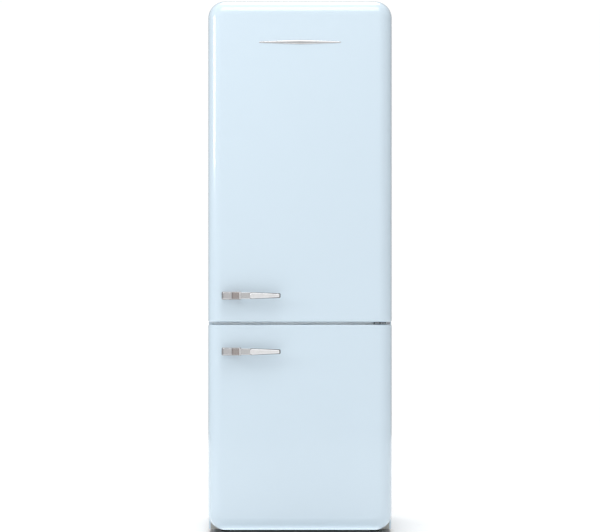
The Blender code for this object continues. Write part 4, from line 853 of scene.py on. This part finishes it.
def make_centre_hinge_parts():
    low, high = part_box("centre_hinge")
    softened("centre_hinge", BLACK_STEEL, 0.0006)
    pivot = Vector((high.x - 0.0065, low.y + 0.0065, SPLIT))
    for name, start, way in (("upper_hinge_bush", 0.0026, 1), ("lower_hinge_bush", -0.0026, -1)):
        bush = turned([(0.0042, 0), (0.0064, 0), (0.0064, 0.0022), (0.0058, 0.0030),
                       (0.0042, 0.0030), (0.0042, 0)], 32)
        bmesh.ops.scale(bush, vec=(1, 1, way), verts=bush.verts)
        bmesh.ops.translate(bush, vec=pivot + Vector((0, 0, start)), verts=bush.verts)
        finish_piece(name, bush, WHITE_TRIM, "cabinet")
    # The rivet heads are white plastic so that they show as bright dots on the black hinge in the
    # shaded gap: painted highlight where steel heads would glint
    places = [(low.x + x, low.y, SPLIT) for x in (0.0085, 0.0165, 0.0305, 0.0395, 0.0485)]
    screws("centre_hinge_rivets", places, "-Y", 0.0022, 0.0008, WHITE_TRIM, "cabinet")


def make_side_hinges():
    for name in ("upper_hinge", "lower_hinge"):
        softened(name, PIN_STEEL, 0.0005)
        low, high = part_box(name)
        spot = (low.z + high.z) / 2
        plate_front = high.y - 0.003
        places = [((low.x + high.x) / 2, plate_front, spot + rise)
                  for rise in (-0.017, 0.017)]
        screws(name + "_screws", places, "-Y", 0.0032, 0.0016, PIN_STEEL, "cabinet")


# ---------------------------------------------------------------- inside of the doors
def make_door_insides():
    for side in ("upper", "lower"):
        softened(side + "_door_liner", WHITE_PLASTIC, 0.0022, 3)


def make_bins():
    """Clear bins with a rolled rim, a chrome rail across the front and two end clips."""
    for name in ("dairy_bin", "door_bin", "door_bin_middle", "bottle_bin"):
        softened(name, CLEAR_PLASTIC, 0.0007, 2)
        low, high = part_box(name)
        inset = 0.0125
        if name != "dairy_bin":
            rail_z = high.z - 0.006
            rail = slab((low.x + inset, high.y - 0.0019, rail_z - 0.005),
                        (high.x - inset, high.y + 0.0003, rail_z + 0.005), 0.0008)
            finish_piece(name + "_rail", rail, CHROME, "upper_door", weighted=True)
        ribs = []
        count = 7
        for i in range(count):
            x = low.x + (high.x - low.x) * (i + 1) / (count + 1)
            ribs.append(((x - 0.0008, low.y + 0.012, low.z + 0.0024),
                         (x + 0.0008, high.y - 0.006, low.z + 0.0050)))
        boxes(name + "_floor_ribs", ribs, CLEAR_PLASTIC, "upper_door", "clear_plastic", 0.0004)
        clips = []
        for x in (low.x + 0.004, high.x - 0.004):
            clips.append(((x - 0.0035, low.y, low.z + 0.010),
                          (x + 0.0035, low.y + 0.0045, low.z + 0.030)))
        boxes(name + "_clips", clips, WHITE_TRIM, "upper_door", "white_plastic", 0.0008)
    softened("dairy_lid", CLEAR_PLASTIC, 0.0008, 2)
    low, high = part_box("dairy_lid")
    lip = slab((-0.045, high.y - 0.004, high.z - 0.0050), (0.045, high.y, high.z - 0.0042),
               0.0003)
    finish_piece("dairy_lid_lip", lip, CHROME, "dairy_lid", weighted=True)


# ---------------------------------------------------------------- inside of the fridge
def make_shelves():
    """Glass with a trim along the front edge and a stop along the back."""
    for name in SHELVES:
        softened(name, SHELF_GLASS, 0.0008, 2)
        low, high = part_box(name)
        trim = [((low.x + 0.001, low.y - 0.002, low.z + 0.0002),
                 (high.x - 0.001, low.y + 0.014, high.z + 0.0022))]
        boxes(name + "_front_trim", trim, WHITE_TRIM, "cabinet", "white_plastic", 0.0016)
        line = [((low.x + 0.004, low.y - 0.0024, low.z + 0.0022),
                 (high.x - 0.004, low.y - 0.0014, low.z + 0.0048))]
        boxes(name + "_bright_line", line, BRIGHT_CHROME, "cabinet", "chrome", 0.0003)
        stop = [((low.x + 0.001, high.y - 0.008, low.z + 0.0004),
                 (high.x - 0.001, high.y, high.z + 0.010))]
        boxes(name + "_back_stop", stop, WHITE_TRIM, "cabinet", "white_plastic", 0.0012)


def make_drawer_detail(name):
    low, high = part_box(name)
    softened(name, CLEAR_PLASTIC, 0.0009, 2)
    front = low.y + 0.009
    wide, tall = high.x - low.x, high.z - low.z
    frame_low = Vector((low.x + 0.016, front - 0.0012, low.z + 0.014))
    frame_high = Vector((high.x - 0.016, front + 0.0004, high.z - 0.030))
    panel = slab(frame_low, frame_high, 0.0008, 1, 0.008, 5, 2)
    finish_piece(name + "_front_panel", panel, FROSTED_PLASTIC, name,
                 weighted=True)
    ribs = []
    count = max(4, int(wide / 0.07))
    for i in range(1, count):
        x = low.x + wide * i / count
        ribs.append(((x - 0.001, front + 0.010, low.z + 0.0028),
                     (x + 0.001, high.y - 0.010, low.z + 0.0052)))
    count = int((high.y - front) / 0.045)
    for i in range(1, count):
        y = front + (high.y - front) * i / count
        for x in (low.x + 0.0042, high.x - 0.0042):
            ribs.append(((x - 0.0012, y - 0.0012, low.z + 0.006),
                         (x + 0.0012, y + 0.0012, low.z + tall * 0.75)))
    boxes(name + "_ribs", ribs, CLEAR_PLASTIC, name, "clear_plastic", 0.0004)
    grip = slab((middle(name).x - 0.083, low.y - 0.0004, high.z - 0.0165),
                (middle(name).x + 0.083, low.y + 0.0035, high.z - 0.0075), 0.0012, edge_steps=3)
    finish_piece(name + "_grip_cap", grip, WHITE_TRIM, name, weighted=True)


def make_drawers():
    for name in ("crisper_left", "crisper_right", "chiller_drawer", "freezer_drawer_top",
                 "freezer_drawer_middle", "freezer_drawer_bottom"):
        make_drawer_detail(name)


def make_rack():
    """Chromed wires: the waved one at the front and back, with straight ones between."""
    low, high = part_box("bottle_rack")
    radius = 0.0025
    flat, waves = 0.012, 6
    half = high.x - radius
    span = 2 * (half - flat)
    rise = high.z - low.z - 2 * radius
    shape = bmesh.new()
    steps = waves * 16

    def wave(i):
        phase = i / steps * waves * 2 * math.pi
        return (-half + flat + span * i / steps,
                low.z + radius + rise / 2 * (1 - math.cos(phase)))

    row = [(-half, low.z + radius)] + [wave(i) for i in range(steps + 1)]
    row.append((half, low.z + radius))
    front, back = low.y + radius, high.y - radius
    loop = [Vector((x, front, z)) for x, z in row]
    loop += [Vector((x, back, z)) for x, z in reversed(row)]
    add_shape(shape, wire_shape(loop, radius, 12, closed=True))
    for k in range(waves):
        for share in (0.25, 0.5, 0.75):
            x, z = wave(int((k + share) * 16))
            ends = [Vector((x, front, z)), Vector((x, back, z))]
            add_shape(shape, wire_shape(ends, 0.0016, 8))
    finish_piece("bottle_rack_wires", shape, CHROME, "cabinet", ("bottle_rack",), 50.0)


def make_fridge_inside():
    softened("fridge_liner", WHITE_PLASTIC, 0.0016, 3)
    softened("freezer_liner", WHITE_PLASTIC, 0.0016, 3)
    softened("air_duct", WHITE_TRIM, 0.0018, 3)
    low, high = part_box("air_duct")
    pitch = (high.z - low.z) / 4
    vanes = []
    for i in range(4):
        z = low.z + pitch * (i + 0.5)
        for x in (-0.028, -0.014, 0.0, 0.014, 0.028):
            vanes.append(((x - 0.0008, low.y + 0.001, z - 0.0048),
                          (x + 0.0008, low.y + 0.011, z + 0.0048)))
    boxes("air_duct_vanes", vanes, WHITE_TRIM, "cabinet", "white_plastic", 0.0003)
    softened("control_panel", WHITE_TRIM, 0.0018, 3)
    softened("lamp_cover", FROSTED_PLASTIC, 0.0016, 3)
    make_dial_marks()
    make_temperature_knob()
    make_cool_button()


def make_dial_marks():
    """Dots around the dial that grow with the cold."""
    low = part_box("control_panel")[0]
    dial = middle("temperature_dial")
    shape = bmesh.new()
    for i in range(7):
        turn = math.radians(-120 + 40 * i)
        x = dial.x + 0.0175 * math.sin(turn)
        z = dial.z + 0.0175 * math.cos(turn)
        size = 0.0006 + 0.00022 * i
        dot = turned([(0, 0.0004), (size, 0.0004), (size, 0), (0, 0)], 16)
        add_shape(shape, dot, facing((x, low.y, z), "-Y"))
    finish_piece("dial_marks", shape, GREY_PLASTIC, "cabinet")


def make_temperature_knob():
    """A fluted knob with a bar across it."""
    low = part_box("control_panel")[0]
    dial = middle("temperature_dial")
    flutes = 28
    outline = []
    for i in range(flutes):
        turn = 2 * math.pi * i / flutes
        radius = 0.0132 if i % 2 else 0.0140
        outline.append((radius * math.cos(turn), radius * math.sin(turn)))
    shape = plan_solid(outline, 0.0006, 0.0118, 0.0005)
    bmesh.ops.transform(shape, matrix=facing((dial.x, low.y, dial.z), "-Y"), verts=shape.verts)
    add_shape(shape, slab((dial.x - 0.0022, low.y - 0.0158, dial.z - 0.0108),
                          (dial.x + 0.0022, low.y - 0.0112, dial.z + 0.0108), 0.0009))
    finish_piece("temperature_knob", shape, WHITE_TRIM, "temperature_dial",
                 ("temperature_dial",), 30.0)


def make_cool_button():
    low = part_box("control_panel")[0]
    spot = middle("fast_cool_button")
    cap = turned([(0, 0.0028), (0.0040, 0.0030), (0.0060, 0.0026), (0.0068, 0.0016),
                  (0.0069, -0.010), (0, -0.010)], 40)
    bmesh.ops.transform(cap, matrix=facing((spot.x, low.y, spot.z), "-Y"), verts=cap.verts)
    finish_piece("cool_button_cap", cap, GREY_PLASTIC, "fast_cool_button",
                 ("fast_cool_button",), 40.0)


# ---------------------------------------------------------------- inside of the freezer
def make_freezer_inside():
    softened("evaporator_cover", WHITE_TRIM, 0.0008, 2)
    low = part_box("evaporator_cover")[0]
    fan = middle("fan_rotor")
    shape = bmesh.new()
    for radius in (0.012, 0.022, 0.032, 0.042, 0.0515):
        ring = [Vector((fan.x + radius * math.cos(2 * math.pi * i / 48), low.y + 0.0012,
                        fan.z + radius * math.sin(2 * math.pi * i / 48))) for i in range(48)]
        add_shape(shape, wire_shape(ring, 0.0011, 8, closed=True))
    for i in range(6):
        turn = math.pi * i / 6
        way = Vector((math.cos(turn), 0, math.sin(turn)))
        spot = Vector((fan.x, low.y + 0.0012, fan.z))
        add_shape(shape, wire_shape([spot - way * 0.0525, spot + way * 0.0525], 0.0010, 8))
    finish_piece("fan_guard", shape, WHITE_TRIM, "cabinet")
    make_fan_blades()
    make_fin_pack()


def make_fan_blades():
    low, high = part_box("fan_rotor")
    fan = (low + high) / 2
    deep = (high.y - low.y) / 2
    hub = turned([(0, deep * 0.95), (0.010, deep * 0.92), (0.0145, deep * 0.70),
                  (0.0158, deep * 0.3), (0.0158, -deep), (0, -deep)], 40)
    shape = bmesh.new()
    add_shape(shape, hub, facing((0, 0, 0), "-Y"))
    blades = 7
    for number in range(blades):
        start = 2 * math.pi * number / blades
        rows = []
        for i in range(9):
            radius = 0.0145 + (0.0475 - 0.0145) * i / 8
            pitch = math.radians(46 - 20 * i / 8)
            wide = 0.0052 + 0.0040 * i / 8
            row = []
            for j in range(7):
                share = j / 3 - 1
                along = share * wide
                curve = 0.0016 * (1 - share * share)
                turn = start + along * math.cos(pitch) / radius * 1.5 + 0.15 * i / 8
                row.append(Vector((radius * math.cos(turn),
                                   along * math.sin(pitch) * 0.92 - curve,
                                   radius * math.sin(turn))))
            rows.append(row)
        blade = loft(rows)
        bmesh.ops.solidify(blade, geom=blade.faces, thickness=0.0009)
        add_shape(shape, blade)
    bmesh.ops.translate(shape, vec=fan, verts=shape.verts)
    finish_piece("fan_blades", shape, BLACK_PLASTIC, "fan_rotor",
                 ("fan_rotor",), 40.0)


def make_fin_pack():
    """The evaporator: thin fins threaded on a serpentine tube."""
    low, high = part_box("evaporator")
    shape = bmesh.new()
    fins = 46
    for i in range(fins):
        x = low.x + 0.002 + (high.x - low.x - 0.004) * i / (fins - 1)
        add_shape(shape, slab((x - 0.0003, low.y + 0.001, low.z),
                              (x + 0.0003, high.y - 0.001, high.z), 0))
    finish_piece("evaporator_fins", shape, FIN_ALUMINIUM, "cabinet",
                 ("evaporator",))
    path = []
    rows = 5
    mid = (low.y + high.y) / 2
    for i in range(rows):
        z = low.z + (high.z - low.z) * (i + 0.5) / rows
        side = 1 if i % 2 else -1
        reach = high.x - 0.0005
        path += [Vector((side * reach, mid, z)), Vector((-side * reach, mid, z))]
    tube = wire_shape(filleted(path, 0.015, 6), 0.004, 12)
    finish_piece("evaporator_tube", tube, FIN_ALUMINIUM, "cabinet")


# ---------------------------------------------------------------- back and underside
def make_back():
    softened("back_panel", GALVANISED, 0.0006, 1)
    low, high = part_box("back_panel")
    ribs = []
    for x in (-0.305, 0.305):
        ribs.append(((x - 0.006, high.y - 0.0006, low.z + 0.06),
                     (x + 0.006, high.y + 0.0024, high.z - 0.12)))
    for z in (1.70, 1.78, 1.86):
        ribs.append(((-0.24, high.y - 0.0006, z - 0.007), (0.24, high.y + 0.0024, z + 0.007)))
    boxes("pressed_ribs", ribs, GALVANISED, "cabinet", "grey_steel", 0.0022, edge_steps=3)
    places = []
    for i in range(8):
        z = low.z + 0.03 + (high.z - low.z - 0.13) * i / 7
        places += [(-0.338, high.y, z), (0.338, high.y, z)]
    places += [(x, high.y, high.z - 0.012) for x in (-0.22, -0.07, 0.07, 0.22)]
    screws("panel_screws", places, "+Y", 0.0042, 0.0022, PIN_STEEL, "cabinet")
    plugs = bmesh.new()
    for x, z in ((-0.18, 1.93), (0.18, 1.93)):
        plug = turned([(0, 0.0016), (0.010, 0.0016), (0.0125, 0.0008), (0.0130, 0), (0, 0)], 32)
        add_shape(plugs, plug, facing((x, high.y, z), "+Y"))
    finish_piece("foam_plugs", plugs, BLACK_PLASTIC, "cabinet")


def make_condenser():
    """The serpentine, refined, with upright wires welded across it and clips to the panel."""
    low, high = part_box("condenser_tube")
    radius = 0.003
    y = high.y - radius
    half = high.x - radius
    pitch, bottom, passes = 0.080, 0.320, 17
    points = [Vector((half, y, low.z))]
    for i in range(passes):
        z = bottom + i * pitch
        side = 1 if i % 2 == 0 else -1
        points += [Vector((side * half, y, z)), Vector((-side * half, y, z))]
    points = [p for p in points if p.z < high.z + 0.001]
    points[-1] = Vector((points[-1].x * 0.5, y, points[-1].z))
    tube = wire_shape(filleted(points, pitch / 2 - 0.0005, 8), radius, 12)
    finish_piece("condenser_serpentine", tube, BLACK_ENAMEL, "cabinet",
                 ("condenser_tube",), 50.0)
    shape = bmesh.new()
    count = 44
    for i in range(count):
        x = -half + 0.012 + (2 * half - 0.024) * i / (count - 1)
        ends = [Vector((x, y - radius - 0.0005, bottom - 0.02)),
                Vector((x, y - radius - 0.0005, high.z + 0.005))]
        add_shape(shape, wire_shape(ends, 0.0008, 6))
    finish_piece("condenser_wires", shape, BLACK_ENAMEL, "cabinet")
    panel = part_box("back_panel")[1].y
    clips = []
    for x in (-half + 0.004, half - 0.004):
        for z in (bottom + pitch * 1.5, bottom + pitch * 7.5, bottom + pitch * 13.5):
            clips.append(((x - 0.010, panel, z - 0.009), (x + 0.010, y - 0.0042, z + 0.009)))
    boxes("condenser_clips", clips, BLACK_PLASTIC, "cabinet", "black_plastic", 0.0016)


def compressor_spot():
    low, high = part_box("compressor")
    return Vector(((low.x + high.x) / 2, (low.y + high.y) / 2, 0))


def make_compressor_can():
    """Two drawn halves welded at a lip, on a foot plate."""
    low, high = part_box("compressor")
    spot = compressor_spot()
    radius, top, base = 0.074, high.z, low.z + 0.012
    tall = top - base
    profile = [(0, tall)]
    for i in range(1, 13):
        turn = math.pi / 2 * i / 12
        profile.append((radius * math.sin(turn), tall * 0.5 + 0.003
                        + (tall * 0.5 - 0.003) * math.cos(turn) ** 0.8))
    profile += [(radius + 0.003, tall * 0.5 + 0.0024), (radius + 0.004, tall * 0.5),
                (radius + 0.003, tall * 0.5 - 0.0024), (radius, tall * 0.5 - 0.003)]
    for i in range(10, -1, -1):
        turn = math.pi / 2 * i / 10
        profile.append((radius * (0.55 + 0.45 * math.sin(turn)),
                        (tall * 0.5 - 0.004) * (1 - math.cos(turn) ** 1.4)))
    profile.append((0, 0))
    can = turned(profile, 64)
    bmesh.ops.translate(can, vec=spot + Vector((0, 0, base)), verts=can.verts)
    add_shape(can, slab((low.x, low.y, low.z), (high.x, high.y, low.z + 0.003), 0.0008, 2,
                        0.015, 6))
    finish_piece("compressor_can", can, BLACK_ENAMEL, "cabinet",
                 ("compressor",), 40.0)


def make_compressor_mounts():
    """A rubber grommet and a bolt at each corner of the foot plate."""
    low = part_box("compressor")[0]
    spot = compressor_spot()
    shape = bmesh.new()
    for sx in (-1, 1):
        for sy in (-1, 1):
            grommet = turned([(0, 0.013), (0.007, 0.013), (0.009, 0.011), (0.009, 0.008),
                              (0.007, 0.0065), (0.009, 0.005), (0.010, 0), (0, 0)], 28)
            place = Matrix.Translation((spot.x + sx * 0.080, spot.y + sy * 0.046,
                                        low.z + 0.003))
            add_shape(shape, grommet, place)
    finish_piece("compressor_grommets", shape, TYRE_RUBBER, "cabinet")
    places = [(spot.x + sx * 0.080, spot.y + sy * 0.046, low.z + 0.016)
              for sx in (-1, 1) for sy in (-1, 1)]
    screws("compressor_bolts", places, "+Z", 0.0055, 0.0040, PIN_STEEL, "cabinet")


def make_compressor_fittings():
    spot = compressor_spot()
    cover = slab((spot.x - 0.030, spot.y + 0.060, 0.085), (spot.x + 0.030, spot.y + 0.098, 0.145),
                 0.003, 1, 0.006, 5, 3)
    finish_piece("terminal_cover", cover, BLACK_PLASTIC, "cabinet",
                 weighted=True)
    stub = [Vector((spot.x - 0.060, spot.y + 0.020, 0.130)),
            Vector((spot.x - 0.088, spot.y + 0.030, 0.130)),
            Vector((spot.x - 0.090, spot.y + 0.032, 0.180))]
    finish_piece("service_stub", wire_shape(filleted(stub, 0.012, 6), 0.003, 12), COPPER,
                 "cabinet")
    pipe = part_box("discharge_pipe")[0]
    sleeve = turned([(0, 0.024), (0.0036, 0.024), (0.0046, 0.022), (0.0046, 0), (0, 0)], 24)
    bmesh.ops.transform(sleeve, matrix=facing((spot.x + 0.060, spot.y, pipe.z + 0.003), "+X"),
                        verts=sleeve.verts)
    finish_piece("discharge_sleeve", sleeve, COPPER, "cabinet")


def make_drier_strap():
    drier = middle("filter_drier")
    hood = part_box("back_panel")[1].y - HOOD_DEPTH
    strap = slab((drier.x - 0.0125, hood, drier.z - 0.006),
                 (drier.x + 0.0125, drier.y + 0.0125, drier.z + 0.006), 0.0015, edge_steps=3)
    finish_piece("drier_strap", strap, BLACK_PLASTIC, "cabinet",
                 weighted=True)


def make_power_inlet():
    """The mains inlet with its three pins."""
    softened("power_inlet", BLACK_PLASTIC, 0.0010, 2)
    low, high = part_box("power_inlet")
    centre = (low.x + high.x) / 2
    pins = bmesh.new()
    for x, z in ((-0.006, -0.002), (0.006, -0.002), (0, 0.004)):
        socket = Vector((centre + x, high.y - 0.016, low.z + SOCKET_RISE + z))
        add_shape(pins, slab(socket - Vector((0.0011, 0.008, 0.0022)),
                             socket + Vector((0.0011, 0.008, 0.0022)), 0.0004))
    finish_piece("inlet_pins", pins, PIN_STEEL, "cabinet")


def make_machine_space():
    softened("base_frame", GALVANISED, 0.0004, 1)
    make_compressor_can()
    make_compressor_mounts()
    make_compressor_fittings()
    make_drier_strap()
    softened("drip_tray", BLACK_PLASTIC, 0.0007, 2)
    make_power_inlet()


def make_feet():
    for name in ("foot_left", "foot_right"):
        low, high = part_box(name)
        spot = Vector(((low.x + high.x) / 2, (low.y + high.y) / 2, 0))
        foot = turned([(0, high.z), (0.0034, high.z), (0.0040, high.z - 0.0010),
                       (0.0040, 0.0145), (0.0075, 0.0140), (0.0100, 0.0125), (0.0165, 0.0070),
                       (0.0180, 0.0055), (0.0180, 0.0012), (0.0168, 0), (0, 0)], 48)
        for i in range(14):
            thread = turned([(0.0036, 0.0006), (0.00405, 0), (0.0036, -0.0006),
                             (0.0036, 0.0006)], 24)
            add_shape(foot, thread, Matrix.Translation((0, 0, 0.018 + 0.0018 * i)))
        hexagon = [(0.0085 * math.cos(math.pi / 3 * i), 0.0085 * math.sin(math.pi / 3 * i))
                   for i in range(6)]
        add_shape(foot, plan_solid(hexagon, 0.0125, 0.0165, 0.0004))
        bmesh.ops.translate(foot, vec=spot, verts=foot.verts)
        finish_piece(name + "_screw", foot, BLACK_PLASTIC, name, (name,), 35.0)


def make_rollers():
    for name in ("roller_left", "roller_right"):
        low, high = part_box(name)
        spot = (low + high) / 2
        half = (high.x - low.x) / 2
        outer = (high.z - low.z) / 2
        wheel = turned([(0.0045, half), (0.0075, half), (0.0080, half - 0.003),
                        (0.0100, half - 0.003), (0.0105, half), (outer - 0.0016, half),
                        (outer, half - 0.0016), (outer, 0.0012), (outer - 0.0006, 0.0006),
                        (outer - 0.0006, -0.0006), (outer, -0.0012), (outer, 0.0016 - half),
                        (outer - 0.0016, -half), (0.0105, -half), (0.0100, 0.003 - half),
                        (0.0080, 0.003 - half), (0.0075, -half), (0.0045, -half),
                        (0.0045, half)], 48)
        bmesh.ops.transform(wheel, matrix=facing(spot, "+X"), verts=wheel.verts)
        finish_piece(name + "_wheel", wheel, TYRE_RUBBER, name, (name,), 35.0)


def make_front_strips():
    # the rail's pale finish is painted light that lightens the shaded gap
    softened("centre_rail", RAIL_STEEL_PAINTED_LIGHT, 0.0008, 2)
    softened("plinth", GREY_PAINT, 0.0010, 2)


# ---------------------------------------------------------------- carried CAD nodes
CARRIED = {
    "cabinet_foam": FOAM, "upper_door_foam": FOAM, "lower_door_foam": FOAM,
    "rear_axle": PIN_STEEL, "fan_motor": DARK_PAINT, "filter_drier": COPPER,
    "discharge_pipe": COPPER,
}


def dress_cad_nodes():
    for name, finish in CARRIED.items():
        node = frame["nodes"][name]
        for slot in node.material_slots:
            slot.material = finish


# ---------------------------------------------------------------- studio
def make_stage():
    """A wide pale floor."""
    shape = bmesh.new()
    bmesh.ops.create_circle(shape, cap_ends=True, radius=FLOOR_RADIUS, segments=96)
    mesh = bpy.data.meshes.new("studio_floor")
    shape.to_mesh(mesh)
    shape.free()
    mesh.materials.append(make_floor_finish())
    floor = bpy.data.objects.new("studio_floor", mesh)
    bpy.context.scene.collection.objects.link(floor)


def make_room_light():
    """A white room: brightest overhead, brighter to the left and front than to the right."""
    world = bpy.data.worlds.new("soft_room")
    bpy.context.scene.world = world
    world.use_nodes = True
    g = Graph(world.node_tree)
    background = g.tree.nodes["Background"]
    way = g.add("ShaderNodeSeparateXYZ", None, {0: g.add("ShaderNodeTexCoord")})
    glow = 0.42 - way * 0.02 - way.output(1) * 0.34 + way.output(2) * 0.36
    seen = g.add("ShaderNodeLightPath")
    kept = glow.math("MAXIMUM", glow, 0.32)
    strength = seen * 1.02 + (1 - seen) * kept
    g.put(background.inputs["Strength"], strength)
    background.inputs["Color"].default_value = (1, 1, 1, 1)


def make_light():
    make_room_light()
    soft_box("overhead_bank", 2.4, 1.7, 40, (0, -2.1, 4.1), (0, -0.3, 1.7))
    soft_box("left_bank", 0.7, 1.1, 26, (-2.9, -1.6, 2.08), (0, -0.3, 1.95))
    soft_box("under_glow", 0.62, 0.07, 0.085, (0, -0.318, 0.004), (0, -0.318, 1))
    soft_box("gap_glow", 0.68, 0.008, 0.060, (0, DOOR_FACE + 0.030, SPLIT), (0, 0, SPLIT))
    lamp("ceiling_wash", "SUN", 1.60, (0, 1.9, 5), (0, 0, 0), angle=0.6)
    bpy.context.scene.view_settings.view_transform = "Standard"


make_camera()
make_stage()
make_light()
dress_cad_nodes()
make_door_sheets()
make_cabinet_sheet()
for side in ("upper", "lower"):
    make_handle(side)
make_badge()
make_seals()
make_centre_hinge_parts()
make_side_hinges()
make_door_insides()
make_bins()
make_shelves()
make_drawers()
make_rack()
make_fridge_inside()
make_freezer_inside()
make_back()
make_condenser()
make_machine_space()
make_feet()
make_rollers()
make_front_strips()
